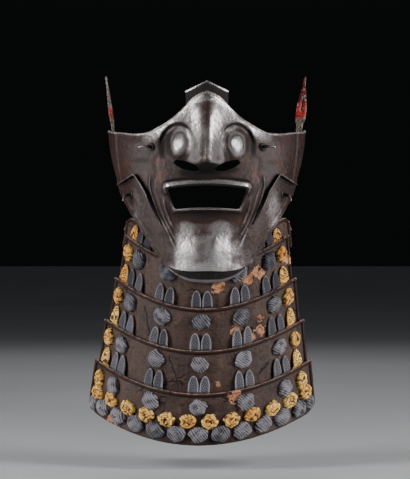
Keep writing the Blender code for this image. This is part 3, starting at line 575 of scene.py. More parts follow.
def clip(points, quads, field):
    """Cut away what lies where the field is below zero, along a clean edge.

    Points may carry more columns than their place, which are cut the same way.
    """
    edges = np.concatenate([quads[:, [i, (i + 1) % 4]] for i in range(4)])
    first, second = np.unique(np.sort(edges, axis=1), axis=0).T
    crossed = field[first] * field[second] < 0
    first = first[crossed]
    second = second[crossed]
    share = field[first] / (field[first] - field[second])
    nearer_second = share > 0.5
    near = np.where(nearer_second, second, first)
    far = np.where(nearer_second, first, second)
    share = np.where(nearer_second, 1.0 - share, share)
    order = np.argsort(-share)
    chosen = order[share[order] < 0.35]
    moved = points.copy()
    moved[near[chosen]] += (points[far[chosen]] - points[near[chosen]]) * share[chosen][:, None]
    field = field.copy()
    field[near[chosen]] = 0.0

    values = field[quads]
    whole = (values >= 0).all(axis=1) & (values > 0).any(axis=1)
    partly = ~whole & (values > 0).any(axis=1)
    faces = quads[whole].tolist()
    added = []
    cuts = {}
    for quad in quads[partly].tolist():
        face = []
        for here, there in zip(quad, quad[1:] + quad[:1]):
            if field[here] >= 0:
                face.append(here)
            if field[here] * field[there] < 0:
                key = (min(here, there), max(here, there))
                if key not in cuts:
                    ratio = field[here] / (field[here] - field[there])
                    cuts[key] = len(moved) + len(added)
                    added.append(moved[here] + (moved[there] - moved[here]) * ratio)
                face.append(cuts[key])
        if len(face) > 2:
            faces.append(face)
    return (np.concatenate([moved, added]) if added else moved), faces


def add_object(name, data):
    """A new object in the scene."""
    thing = bpy.data.objects.new(name, data)
    bpy.context.scene.collection.objects.link(thing)
    return thing


def make_piece(name, points, faces, materials, attributes):
    """A mesh object over points in millimetres, with a number at each point for each attribute."""
    used = np.unique(np.concatenate([np.asarray(face) for face in faces]))
    number = np.full(len(points), -1)
    number[used] = np.arange(len(used))
    mesh = bpy.data.meshes.new(name)
    mesh.from_pydata((points[used, :3] * MM).tolist(), [], [number[face].tolist() for face in faces])
    for key, values in attributes.items():
        layer = mesh.attributes.new(key, "FLOAT", "POINT")
        layer.data.foreach_set("value", np.asarray(values, dtype=np.float32).reshape(-1)[used])
    for material in materials:
        mesh.materials.append(material)
    mesh.shade_smooth()
    return add_object(name, mesh)


def evaluated_mesh(thing):
    """A copy of an object's mesh as its modifiers make it."""
    bpy.context.view_layer.update()
    return bpy.data.meshes.new_from_object(thing.evaluated_get(bpy.context.evaluated_depsgraph_get()))


def smooth_but_for_edges(mesh, sharp=SHARP_ANGLE):
    """Shade a mesh smooth and keep its hard edges hard."""
    mesh.shade_smooth()
    mesh.set_sharp_from_angle(angle=sharp)


def dress(thing, slot, *nodes):
    """Let a piece stand for nodes of the frame, or be a new piece if there are none."""
    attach(thing, "root")
    if nodes:
        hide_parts(*nodes)


def make_plate(
        name, node, sheet, materials, attributes, thickness,
        slot="russet_iron", edge=PLATE_EDGE, offset=-1.0):
    """A sheet with a thickness and rounded edges, standing for a node.

    The sheet is a grid of points, or points with their faces.  Its inner side has the last material.
    """
    points, faces = sheet if isinstance(sheet, tuple) else (sheet.reshape(-1, 3), quad_grid(*sheet.shape[:2]))
    plate = make_piece(name, points, list(faces), materials, attributes)
    solid = plate.modifiers.new("Thickness", "SOLIDIFY")
    solid.thickness = thickness * MM
    solid.offset = offset
    solid.material_offset = len(materials) - 1
    if edge:
        bevel = plate.modifiers.new("Edges", "BEVEL")
        bevel.width = edge * MM
        bevel.segments = 2
        bevel.limit_method = "ANGLE"
        bevel.angle_limit = BEVEL_ANGLE
    mesh = evaluated_mesh(plate)
    plate.modifiers.clear()
    plate.data = mesh
    smooth_but_for_edges(mesh)
    dress(plate, slot, node)


class Shape:
    """Rings and grids gathered into one mesh, with a tone and a depth for each point."""

    def __init__(self):
        self.points = []
        self.faces = []
        self.tones = []
        self.depths = []
        self.count = 0

    def add(self, points, faces, tone, depth=0.0):
        """More points in millimetres and the faces between them."""
        points = np.asarray(points).reshape(-1, 3)
        self.points.append(points)
        self.faces += [[self.count + i for i in face] for face in faces]
        for kept, values in ((self.tones, tone), (self.depths, depth)):
            kept.append(np.broadcast_to(np.asarray(values, dtype=float).reshape(-1), (len(points),)))
        self.count += len(points)

    def loft(self, rings, tone, depth=0.0):
        """A closed body through rings of points, with flat ends."""
        rings = np.asarray(rings)
        rows, around = rings.shape[:2]
        first = np.arange((rows - 1) * around).reshape(rows - 1, around)
        after = np.roll(first, -1, axis=1)
        faces = np.stack([first, after, after + around, first + around], axis=-1).reshape(-1, 4).tolist()
        faces.append(list(reversed(range(around))))
        faces.append([(rows - 1) * around + i for i in range(around)])
        self.add(rings, faces, tone, depth)

    def piece(self, name, material, keys=("tone", "depth")):
        """The mesh object, with its tones and depths kept under two names."""
        attributes = dict(zip(keys, (np.concatenate(self.tones), np.concatenate(self.depths))))
        return make_piece(name, np.concatenate(self.points), self.faces, [material], attributes)


# The face shell's form


def edge_height(table, side):
    """Height of a long edge of the shell; side is 0 in the middle and 1 at the rear."""
    across = column(table, "across")
    return curve_through(side_of(across, across[-1]), column(table, "height"), side)


def side_of(across, half_width):
    """How far round to the rear a place is, where the shell has a half width."""
    return np.arcsin(np.minimum(np.abs(across) / half_width, 1.0)) / REAR_TURN


def plain_front(turn, level):
    """How far forward the shell is without its relief."""
    back = read(LEVELS, "level", "reach", level) * (1.0 - np.cos(turn))
    return read(LEVELS, "level", "front", level) - back


def nose_relief(across, height):
    """The tent-shaped nose with its rounded ridge, ending in an overhanging tip."""
    rise = read(NOSE, "height", "rise", height)
    ratio = across / (NOSE_SPREAD * read(NOSE, "height", "half_width", height))
    slope = (np.hypot(ratio, NOSE_ROUND) - NOSE_ROUND) / (math.hypot(1.0, NOSE_ROUND) - NOSE_ROUND)
    return np.maximum(rise, 0.0) * 0.5 * (1.0 - slope + np.hypot(1.0 - slope, NOSE_BLEND))


def wing_relief(across, height):
    """The egg-shaped wing beside the nose and the groove arched over it."""
    sideways = (across - WING_ACROSS) / WING_HALF_WIDTH
    upward = (height - WING_HEIGHT) / WING_HALF_HEIGHT
    radius = np.hypot(sideways, upward)
    egg = WING_RISE * fall(*WING_SIDE, radius)
    groove = WING_GROOVE * bell(radius - WING_GROOVE_AT, WING_GROOVE_WIDTH)
    groove = groove * smooth_step(*WING_GROOVE_END, upward)
    return egg * smooth_step(*WING_FOOT, height) - groove * smooth_step(*WING_GROOVE_INSIDE, sideways)


def laugh_relief(across, height):
    """The muzzle around the mouth, standing proud of the cheeks along the laugh line."""
    line = read(LAUGH_LINE, "height", "across", height)
    window = smooth_step(*LAUGH_BOTTOM, height) * fall(*LAUGH_TOP, height)
    return LAUGH_STEP * window * fall(*LAUGH_SIDE, across - line)


def crease_relief(across, height):
    """The raised creases that run down beside the mouth to the chin."""
    relief = 0.0
    for crease in CREASES:
        line = read(crease, "height", "across", height)
        low = crease[0].height
        high = crease[-1].height
        window = smooth_step(low - 2.0, low + 8.0, height) * fall(high - 8.0, high + 3.0, height)
        relief = relief + CREASE_RISE * window * bell(across - line, CREASE_WIDTH)
    return relief


def mouth_top(across):
    """Height of the mouth's upper edge."""
    return MOUTH_TOP - MOUTH_TOP_BOW * (across / MOUTH_HALF_TOP) ** 2


def mouth_bottom(across):
    """Height of the mouth's lower edge."""
    return MOUTH_BOTTOM - MOUTH_BOTTOM_BOW * (across / MOUTH_HALF_BOTTOM) ** 2


def mouth_side(height):
    """Half width of the mouth at a height."""
    return MOUTH_HALF_BOTTOM + MOUTH_SLOPE * (height - MOUTH_BOTTOM)


def lip_relief(across, height):
    """The broad upper lip and the thin turned edge round the rest of the mouth."""
    above = height - mouth_top(across)
    upper = UPPER_LIP_RISE * fall(UPPER_LIP - 1.0, UPPER_LIP + 1.6, above)
    upper = upper * smooth_step(*UPPER_LIP_UNDERSIDE, above) * fall(*UPPER_LIP_END, across)
    below = np.maximum(mouth_bottom(across) - height, across - mouth_side(height))
    edge = LOWER_LIP_RISE * fall(*LOWER_LIP_EDGE, below) * fall(*LOWER_LIP_TOP, above)
    return upper + edge


def chin_relief(across, height):
    """The boss of the chin, the hollow between it and the mouth, and the edge flaring out below."""
    boss = CHIN_RISE * bell(height - CHIN_HEIGHT, CHIN_HALF_HEIGHT) * bell(across, CHIN_HALF_WIDTH)
    hollow = LIP_HOLLOW * bell(height - LIP_HOLLOW_HEIGHT, LIP_HOLLOW_HALF_HEIGHT)
    flare = JAW_FLARE * fall(*JAW_FLARE_TOP, height) * fall(*JAW_FLARE_END, across)
    return boss - hollow * bell(across, LIP_HOLLOW_HALF_WIDTH) + flare


def cheek_relief(across, height):
    """The cheekbone under the eye."""
    sideways = CHEEKBONE_RISE * bell(across - CHEEKBONE_ACROSS, CHEEKBONE_HALF_WIDTH)
    return sideways * bell(height - CHEEKBONE_HEIGHT, CHEEKBONE_HALF_HEIGHT)


def dent_relief(across, height):
    """The small dents, which aren't the same on both sides."""
    relief = 0.0
    for dent in DENTS:
        distance = np.hypot(across - dent.across, height - dent.height)
        relief = relief - dent.depth * bell(distance, dent.radius)
    return relief


def face_relief(across, height):
    """How far the shell stands in front of its plain form."""
    side = np.abs(across)
    relief = nose_relief(side, height) + wing_relief(side, height)
    relief = relief + laugh_relief(side, height) + crease_relief(side, height)
    relief = relief + lip_relief(side, height) + chin_relief(side, height) + cheek_relief(side, height)
    return relief + dent_relief(across, height) + 0.12 * ripples(across, height, 26.0, 3)


def face_grid(sides, levels):
    """Points of the shell from its left rear edge to its right one, a row for each level."""
    side, level = np.meshgrid(sides, levels)
    turn = side * REAR_TURN
    across = read(LEVELS, "level", "half_width", level) * np.sin(turn)
    jaw = edge_height(JAW_EDGE, np.abs(side))
    height = jaw + (edge_height(TOP_EDGE, np.abs(side)) - jaw) * level
    front = plain_front(turn, level) + face_relief(across, height)
    strip = smooth_step(*REAR_STRIP_SIDE, np.abs(side)) * smooth_step(*REAR_STRIP_BOTTOM, level)
    out = np.stack([np.sin(turn), np.cos(turn)], axis=-1)
    from_jaw = (height - jaw) * np.cos(np.clip(np.abs(side), 0.0, 0.6) * 1.3)
    band = JAW_BAND_RISE * fall(JAW_BAND - 0.7, JAW_BAND + 0.3, from_jaw)
    band = band * (1.0 + 0.45 * ripples(across, height, 4.5, 8))
    band = band * smooth_step(JAW_BAND_START - 3.0, JAW_BAND_START + 3.0, np.abs(across))
    from_top = edge_height(TOP_EDGE, np.abs(side)) - height
    bead = TOP_BAND_RISE * fall(TOP_BAND - 0.5, TOP_BAND + 0.4, from_top)
    push = band + bead
    across = across + REAR_STRIP_RISE * strip * np.sign(side) + push * out[..., 0]
    front = front + push * out[..., 1]
    return np.stack([across, -front, height], axis=-1), band / JAW_BAND_RISE, bead / TOP_BAND_RISE


def face_front(across, height):
    """How far forward the shell is at places seen from the front."""
    across = np.asarray(across, dtype=float)
    height = np.asarray(height, dtype=float)
    half_width = np.full(np.broadcast(across, height).shape, LEVELS[2].half_width)
    for _ in range(8):
        side = side_of(across, half_width)
        jaw = edge_height(JAW_EDGE, side)
        level = (height - jaw) / (edge_height(TOP_EDGE, side) - jaw)
        half_width = read(LEVELS, "level", "half_width", level)
    return plain_front(side * REAR_TURN, level) + face_relief(across, height)


def on_face(across, height, out):
    """Points some distance out of the shell, and the directions out of it."""
    across = np.asarray(across, dtype=float)
    height = np.asarray(height, dtype=float)
    reach = 0.5
    sideways = (face_front(across + reach, height) - face_front(across - reach, height)) / (2 * reach)
    upward = (face_front(across, height + reach) - face_front(across, height - reach)) / (2 * reach)
    normal = np.stack([-sideways, -np.ones_like(sideways), -upward], axis=-1)
    normal = normal / np.linalg.norm(normal, axis=-1, keepdims=True)
    across, height, front = np.broadcast_arrays(across, height, face_front(across, height))
    return np.stack([across, -front, height], axis=-1) + normal * np.asarray(out)[..., None], normal


def mouth_field(across, height):
    """Below zero inside the mouth and above it on the iron."""
    side = np.abs(across)
    inside = [mouth_top(side) - height, height - mouth_bottom(side), 0.95 * (mouth_side(height) - side)]
    return MOUTH_CORNER * np.log(sum(np.exp(-np.clip(part, -60, 60) / MOUTH_CORNER) for part in inside))


def nostril_field(across, height):
    """Below zero inside the nostrils and above it on the iron."""
    along, up = turned(np.abs(across) - NOSTRIL_ACROSS, height - NOSTRIL_HEIGHT, NOSTRIL_TILT)
    return (np.hypot(along / NOSTRIL_HALF_LENGTH, up / NOSTRIL_HALF_HEIGHT) - 1.0) * NOSTRIL_HALF_HEIGHT


def hollowness(across, height, reach):
    """Above zero in the creases of the face and below it on their crests."""
    around = 0.0
    for aside, up in ((reach, 0.0), (-reach, 0.0), (0.0, reach), (0.0, -reach)):
        around = around + face_relief(across + aside, height + up)
    return 0.25 * around - face_relief(across, height)


def soft_ovals(patches, across, height):
    """The strongest of some soft ovals at each place."""
    strength = 0.0
    for patch in patches:
        aside = (across - patch.across) / patch.half_width
        up = (height - patch.height) / patch.half_height
        strength = np.maximum(strength, patch.strength * fall(*PATCH_EDGE, np.hypot(aside, up)))
    return strength


def polish_and_highlight_at(across, height):
    """How bright the iron is, rubbed and with painted highlights, and dimmed by painted shade: 0 where it's
    dark russet, 1 where it's silver.
    """
    side = np.abs(across)
    above = height - mouth_top(side) - LIP_POLISH_AND_HIGHLIGHT_ABOVE
    lip = LIP_POLISH_AND_HIGHLIGHT * bell(above, LIP_POLISH_AND_HIGHLIGHT_WIDTH) * fall(*LIP_POLISH_AND_HIGHLIGHT_END, side)
    jaw = JAW_POLISH_AND_HIGHLIGHT * fall(*JAW_POLISH_AND_HIGHLIGHT_TOP, height) * fall(*JAW_POLISH_AND_HIGHLIGHT_END, side)
    from_top = edge_height(TOP_EDGE, side_of(across, LEVELS[2].half_width)) - height
    top = TOP_BAND_POLISH_AND_HIGHLIGHT * bell(from_top - TOP_BAND_POLISH_AND_HIGHLIGHT_BELOW, TOP_BAND_POLISH_AND_HIGHLIGHT_WIDTH)
    top = top * fall(*TOP_BAND_POLISH_AND_HIGHLIGHT_END, side)
    bright = np.maximum(soft_ovals(POLISHED_AND_HIGHLIT, across, height), top) - soft_ovals(PAINTED_SHADE_ON_POLISHED, across, height)
    return np.maximum(bright, np.maximum(lip, jaw))


# Node materials


def fill_in(tree, node, inputs):
    """Set a node's inputs to values, or link them to other nodes."""
    for key, value in inputs.items():
        value = getattr(value, "socket", value)
        if isinstance(value, bpy.types.NodeSocket):
            tree.links.new(value, node.inputs[key])
        else:
            node.inputs[key].default_value = value


def add_node(tree, kind, inputs, **settings):
    """A shader node with its inputs and settings."""
    node = tree.nodes.new(kind)
    for key, value in settings.items():
        setattr(node, key, value)
    fill_in(tree, node, inputs)
    return node


def blend(tree, strength, first, second):
    """A colour between two colours."""
    node = add_node(tree, "ShaderNodeMix", {}, data_type="RGBA")
    sockets = {socket.name: socket for socket in node.inputs if socket.enabled}
    tree.links.new(strength.socket, sockets["Factor"])
    for key, value in (("A", first), ("B", second)):
        if isinstance(value, bpy.types.NodeSocket):
            tree.links.new(value, sockets[key])
        else:
            sockets[key].default_value = (*value, 1.0)
    return [socket for socket in node.outputs if socket.enabled][0]


class Number:
    """A number worked out by nodes, so that sums of numbers read as sums."""

    def __init__(self, tree, socket):
        self.tree = tree
        self.socket = socket

    def math(self, operation, first, second):
        """What one Math node makes of two numbers."""
        node = add_node(self.tree, "ShaderNodeMath", {0: first, 1: second}, operation=operation)
        return Number(self.tree, node.outputs[0])

    def __add__(self, other):
        return self.math("ADD", self, other)

    def __sub__(self, other):
        return self.math("SUBTRACT", self, other)

    def __rsub__(self, other):
        return self.math("SUBTRACT", other, self)

    def __mul__(self, other):
        return self.math("MULTIPLY", self, other)

    def spread(self, low, high, out_low=0.0, out_high=1.0):
        """The number mapped from one range to another with soft ends."""
        inputs = {"Value": self, "From Min": low, "From Max": high, "To Min": out_low, "To Max": out_high}
        node = add_node(self.tree, "ShaderNodeMapRange", inputs, interpolation_type="SMOOTHSTEP")
        return Number(self.tree, node.outputs["Result"])


class Paint:
    """A node material whose patterns are sized in millimetres and follow the object."""

    def __init__(self, name):
        self.material = bpy.data.materials.new(name)
        self.material.use_nodes = True
        self.tree = self.material.node_tree
        self.where = self.stretched(1.0, 1.0, 1.0)

    def stretched(self, *stretch):
        """A point's place on the object, stretched."""
        where = add_node(self.tree, "ShaderNodeTexCoord", {}).outputs["Object"]
        return add_node(self.tree, "ShaderNodeMapping", {"Vector": where, "Scale": stretch}).outputs["Vector"]

    def warped(self, size, reach):
        """A point's place, pushed about in clouds."""
        clouds = {"Vector": self.where, "Scale": 1.0 / (size * MM)}
        push = {0: add_node(self.tree, "ShaderNodeTexNoise", clouds).outputs["Color"], "Scale": reach * MM}
        drift = add_node(self.tree, "ShaderNodeVectorMath", push, operation="SCALE").outputs["Vector"]
        moved = add_node(self.tree, "ShaderNodeVectorMath", {0: self.where, 1: drift}, operation="ADD")
        return moved.outputs["Vector"]

    def noise(self, size, detail, roughness=0.55, distortion=0.0, where=None):
        """Cloudy noise whose spots are about a size across."""
        inputs = {"Vector": where or self.where, "Scale": 1.0 / (size * MM), "Detail": detail}
        inputs.update({"Roughness": roughness, "Distortion": distortion})
        return Number(self.tree, add_node(self.tree, "ShaderNodeTexNoise", inputs).outputs["Fac"])

    def cells(self, size, where=None, feature="F1"):
        """Distance in a pattern of cells of a size."""
        inputs = {"Vector": where or self.where, "Scale": 1.0 / (size * MM)}
        node = add_node(self.tree, "ShaderNodeTexVoronoi", inputs, feature=feature)
        return Number(self.tree, node.outputs["Distance"])

    def flakes(self, size, where):
        """Angular patches of a size, each with a number of its own."""
        inputs = {"Vector": where, "Scale": 1.0 / (size * MM)}
        colour = add_node(self.tree, "ShaderNodeTexVoronoi", inputs).outputs["Color"]
        return Number(self.tree, add_node(self.tree, "ShaderNodeSeparateColor", {"Color": colour}).outputs[0])

    def attribute(self, name):
        """A number kept at each point of the mesh."""
        node = add_node(self.tree, "ShaderNodeAttribute", {}, attribute_name=name)
        return Number(self.tree, node.outputs["Fac"])

    def coats(self, colour, *coats):
        """A colour with others over it, each as strong as its number says."""
        for strength, coat in coats:
            colour = blend(self.tree, strength, colour, coat)
        return colour

    def finish(self, colour, bumps, inputs):
        """Fill in the shader.  A bump is a height, a depth in millimetres and a strength."""
        inputs = {"Base Color": colour, **inputs}
        for height, depth, strength in bumps:
            bump = {"Height": height, "Distance": depth * MM, "Strength": strength}
            if "Normal" in inputs:
                bump["Normal"] = inputs["Normal"]
            inputs["Normal"] = add_node(self.tree, "ShaderNodeBump", bump).outputs["Normal"]
        fill_in(self.tree, self.tree.nodes["Principled BSDF"], inputs)
        return self.material


def dimmed(colour, share):
    """A colour made darker."""
    return tuple(share * part for part in colour)


def iron_material(name, crest, body, rust):
    """Russet iron: silver where it's rubbed and has painted highlights, dark and finely pitted elsewhere,
    painted black with shade in its grooves.
    """
    paint = Paint(name)
    broad = paint.noise(30.0, 5.0, 0.6)
    middle = paint.noise(7.0, 4.0, 0.55, 0.4)
    dimples = paint.noise(3.2, 2.0, 0.5)
    grain = paint.noise(1.3, 4.0, 0.6)
    scratch = paint.noise(0.8, 3.0, 0.7, where=paint.stretched(1.0, 1.0, 0.16))
    pits = paint.cells(1.9)
    hollow = paint.attribute("hollow")
    polish = paint.attribute("polish")
    # The silver comes from rubbing and painted highlights, less the painted shade kept in "hollow"
    shine = (polish + middle * 0.75 + broad * 0.7 + grain * 0.35 - hollow * 0.35).spread(0.95, 2.10)
    rusted = middle - shine * 0.20 + paint.attribute("rusty") * 0.15
    specks = grain.spread(0.30, 0.52, 0.65, 0.0) - shine * 0.5
    colour = paint.coats(
        body,
        (broad.spread(0.35, 0.65), dimmed(body, 0.62)),
        (shine, crest),
        (rusted.spread(0.56, 0.70, 0.0, 0.75), rust),
        (specks.math("MAXIMUM", specks, 0.0), (0.011, 0.006, 0.005)),
        (dimples.spread(0.54, 0.78, 0.0, 0.10), dimmed(crest, 0.45)),
        # Painted shade: creases and shaded places turn nearly black
        (hollow.spread(0.15, 0.75, 0.0, 0.95), (0.006, 0.004, 0.004)),
        (pits.spread(0.10, 0.24, 1.0, 0.0) * middle.spread(0.46, 0.60), (0.022, 0.013, 0.011)),
    )
    rough = shine.spread(0.0, 1.0, 0.46, 0.22) + grain * 0.12 + hollow.spread(0.2, 0.8, 0.0, 0.3)
    bumps = [(middle, 0.45, 0.8), (dimples, 0.36, 0.8), (grain, 0.09, 0.9), (scratch, 0.05, 0.6)]
    bumps.append((pits, 0.10, 0.6))
    return paint.finish(colour, bumps, {
        "Roughness": rough + polish.spread(0.95, 1.3, 0.0, 0.20),
        "Metallic": shine.spread(0.0, 1.0, 0.20, 0.95),
        "Specular IOR Level": 0.28,
    })


def lining_material(name):
    """Dark red lacquer on the inside of the iron, dulled and worn."""
    paint = Paint(name)
    broad = paint.noise(22.0, 5.0, 0.6)
    fine = paint.noise(2.2, 5.0, 0.65)
    colour = paint.coats(
        (0.075, 0.010, 0.007),
        (broad.spread(0.35, 0.65), (0.030, 0.008, 0.006)),
        (fine.spread(0.60, 0.70), (0.012, 0.009, 0.008)),
    )
    bumps = [(broad, 0.4, 0.5), (fine, 0.08, 0.6)]
    return paint.finish(colour, bumps, {"Roughness": fine.spread(0.3, 0.7, 0.35, 0.6)})


def red_material(name):
    """Bright red lacquer on the top of an ear plate, flaked to a grey-brown ground, bare further down."""
    paint = Paint(name)
    broad = paint.noise(9.0, 4.0, 0.6)
    flakes = paint.noise(3.0, 5.0, 0.6, 0.6)
    fine = paint.noise(0.8, 4.0, 0.6)
    streaks = paint.noise(2.0, 4.0, 0.6, where=paint.stretched(1.0, 1.0, 0.25))
    place = add_node(paint.tree, "ShaderNodeSeparateXYZ", {"Vector": paint.where}).outputs
    left = Number(paint.tree, place["X"]).spread(-0.01, 0.01, 1.0, 0.0)
    height = Number(paint.tree, place["Z"]) + (flakes - 0.5) * (14.0 * MM)
    bare_top = left * height.spread(RED_TOP_LEFT * MM, (RED_TOP_LEFT + 1.5) * MM)
    red = height.spread(RED_FOOT * MM, (RED_FOOT + 2.5) * MM) - bare_top
    red = red * (1.0 - flakes.spread(0.55, 0.60))
    ground = paint.coats((0.060, 0.042, 0.036), (flakes.spread(0.4, 0.6), (0.20, 0.165, 0.145)))
    faded = paint.coats((0.020, 0.006, 0.005), (streaks.spread(0.42, 0.58), (0.16, 0.012, 0.010)))
    bright = paint.coats(
        (0.42, 0.020, 0.018),
        (broad.spread(0.3, 0.7), (0.17, 0.010, 0.009)),
        (height.spread(RED_BRIGHT_TOP * MM, (RED_BRIGHT_TOP + 4.0) * MM), faded),
    )
    colour = paint.coats(ground, (red, bright), (fine.spread(0.66, 0.74, 0.0, 0.8), (0.62, 0.40, 0.33)))
    bumps = [(red, 0.45, 0.8), (broad, 0.8, 0.6), (fine, 0.06, 0.5)]
    return paint.finish(colour, bumps, {"Roughness": flakes.spread(0.5, 0.62, 0.28, 0.6)})


def lacquer_material(name):
    """Old brown lacquer: finely scratched, crackled, and flaked to its tan ground where chips are."""
    paint = Paint(name)
    broad = paint.noise(26.0, 5.0, 0.6)
    streaks = paint.noise(6.0, 6.0, 0.65, where=paint.stretched(1.0, 1.0, 0.45))
    brushed = paint.noise(1.2, 5.0, 0.7, where=paint.stretched(0.16, 0.16, 1.0))
    hide = paint.noise(3.0, 5.0, 0.65)
    fine = paint.noise(1.0, 5.0, 0.65)
    warped = paint.warped(9.0, 7.0)
    crack = paint.cells(21.0, warped, "DISTANCE_TO_EDGE")
    cracked = crack.spread(0.006, 0.026, 1.0, 0.0) * broad.spread(0.53, 0.58)
    edge = paint.attribute("edge") + (hide - 0.5) * 2.4
    ragged = paint.attribute("chip") + (paint.flakes(3.4, warped) - 0.5) * 0.8 + (fine - 0.5) * 0.5
    flaked = ragged.spread(0.52, 0.55)
    tan = paint.coats((0.25, 0.090, 0.042), (hide.spread(0.38, 0.62), (0.46, 0.245, 0.145)))
    colour = paint.coats(
        (0.056, 0.033, 0.026),
        (broad.spread(0.33, 0.67), (0.034, 0.021, 0.018)),
        (brushed.spread(0.50, 0.68, 0.0, 0.35), (0.120, 0.074, 0.056)),
        (streaks.spread(0.50, 0.68, 0.0, 0.55), (0.105, 0.062, 0.046)),
        (fine.spread(0.56, 0.72, 0.0, 0.6), (0.170, 0.115, 0.088)),
        (hide.spread(0.34, 0.46, 0.75, 0.0), (0.014, 0.009, 0.007)),
        (paint.attribute("rim").spread(0.15, 0.6, 0.0, 0.9), (0.026, 0.0095, 0.007)),
        # The edges' light line is wear with a painted highlight, and the "groove" line inside the rims is a
        # painted shadow
        (edge.spread(0.55, 1.1, 0.0, 0.8), (0.30, 0.20, 0.165)),
        (paint.attribute("groove").spread(0.2, 0.8, 0.0, 0.9), (0.006, 0.005, 0.005)),
        (cracked, (0.008, 0.005, 0.005)),
        (ragged.spread(0.40, 0.52), (0.014, 0.007, 0.005)),
        (flaked, tan),
    )
    lifted = ragged.spread(0.49, 0.55, 1.0, 0.0)
    bumps = [(streaks, 1.0, 0.7), (hide, 0.6, 0.8), (brushed, 0.15, 0.7), (lifted, 0.6, 1.0)]
    bumps += [(1.0 - cracked, 0.4, 1.0), (fine, 0.16, 0.8)]
    rough = streaks.spread(0.35, 0.7, 0.48, 0.66) + flaked * 0.3
    return paint.finish(colour, bumps, {"Roughness": rough, "Specular IOR Level": 0.16})


def braid_material(name, deep, body, light, blue=None):
    """Silk braid: painted shade between its cords, painted highlights on their crests, blue where it's least
    faded.
    """
    paint = Paint(name)
    fine = paint.noise(0.55, 4.0, 0.7)
    patch = paint.noise(5.0, 4.0, 0.6)
    weave = paint.cells(0.75, paint.stretched(1.0, 1.0, 0.7))
    tone = paint.attribute("tone")
    coats = [(tone * 0.78 + patch.spread(0.3, 0.7) * 0.22, light)]
    if blue:
        coats.append((tone.spread(0.0, 0.5, 0.8, 0.0), blue))
    colour = paint.coats(
        body,
        *coats,
        (fine.spread(0.48, 0.72, 0.0, 0.28), light),
        (fine.spread(0.34, 0.48, 0.45, 0.0), deep),
        (paint.attribute("depth").spread(0.20, 0.80, 0.0, 0.97), deep),
    )
    bumps = [(weave, 0.22, 0.7), (fine, 0.12, 0.7)]
    return paint.finish(colour, bumps, {"Roughness": 0.82, "Sheen Weight": 0.03, "Sheen Roughness": 0.4})


def floor_material(name):
    """A plain pale matt floor."""
    paint = Paint(name)
    shade = paint.noise(400.0, 2.0)
    colour = paint.coats((0.40, 0.41, 0.42), (shade.spread(0.3, 0.7), (0.44, 0.45, 0.46)))
    return paint.finish(colour, [], {"Roughness": 0.7})


IRON = iron_material(
    "russet_iron", crest=(0.40, 0.37, 0.37), body=(0.031, 0.0155, 0.0130), rust=(0.058, 0.016, 0.008))
PLATE_IRON = iron_material(
    "dark_iron", crest=(0.30, 0.27, 0.27), body=(0.016, 0.012, 0.012), rust=(0.022, 0.011, 0.008))
LINING = lining_material("red_lining")
RED = red_material("red_lacquer")
LACQUER = lacquer_material("brown_lacquer")
BRAIDS = {
    "grey": braid_material(
        "grey_braid", deep=(0.004, 0.004, 0.008), body=(0.018, 0.0175, 0.026), light=(0.235, 0.22, 0.245),
        blue=(0.0075, 0.0095, 0.024)),
    "yellow": braid_material(
        "yellow_braid", deep=(0.022, 0.005, 0.001), body=(0.52, 0.16, 0.004), light=(1.0, 0.68, 0.19)),
}


# The mask


def make_face_plate():
    """The raised iron shell with its openings, edge bands and dents."""
    sides = steps(FACE_COLUMNS)
    sides = np.concatenate([-sides[:0:-1], sides])
    levels = steps(FACE_ROWS)
    points, jaw_band, top_bead = face_grid(sides, levels)
    columns = np.concatenate([points, jaw_band[..., None], top_bead[..., None]], axis=-1).reshape(-1, 5)
    in_mouth = mouth_field(columns[:, 0], columns[:, 2])
    in_nostril = nostril_field(columns[:, 0], columns[:, 2])
    points, faces = clip(columns, quad_grid(len(levels), len(sides)), np.minimum(in_mouth, in_nostril))
    across, _, height, _, top_bead = points.T
    # Painted shade in the creases, made darker still where the SHADED ovals and the mouth's upper rim lie
    hollow = hollowness(across, height, FINE_REACH) + BROAD_SHARE * hollowness(across, height, BROAD_REACH)
    hollow = np.clip(hollow, -0.6, 1.4)
    crest = np.clip(-hollow, 0.0, 0.6)
    from_mouth = mouth_field(across, height)
    # Painted highlights on the mouth's lower rim, the top bead and the crests, which are also rubbed; painted
    # shade along the mouth's upper rim
    lower_rim = fall(*LOWER_RIM, from_mouth) * fall(*LOWER_RIM_TOP, height)
    upper_rim = fall(*UPPER_RIM, from_mouth) * smooth_step(*UPPER_RIM_BOTTOM, height)
    hollow = np.maximum(hollow, soft_ovals(SHADED, across, height)) - 0.4 * top_bead - 0.9 * lower_rim
    polish = np.maximum(polish_and_highlight_at(across, height), np.maximum(0.5 * top_bead, 0.9 * lower_rim))
    attributes = {
        "hollow": np.maximum(hollow, 1.1 * upper_rim),
        "polish": polish + 0.6 * crest - upper_rim,
        "rusty": soft_ovals(RUSTY, across, height),
    }
    make_plate("face_plate_fine", "face_plate", (points, faces), [IRON, LINING], attributes, FACE_THICKNESS)


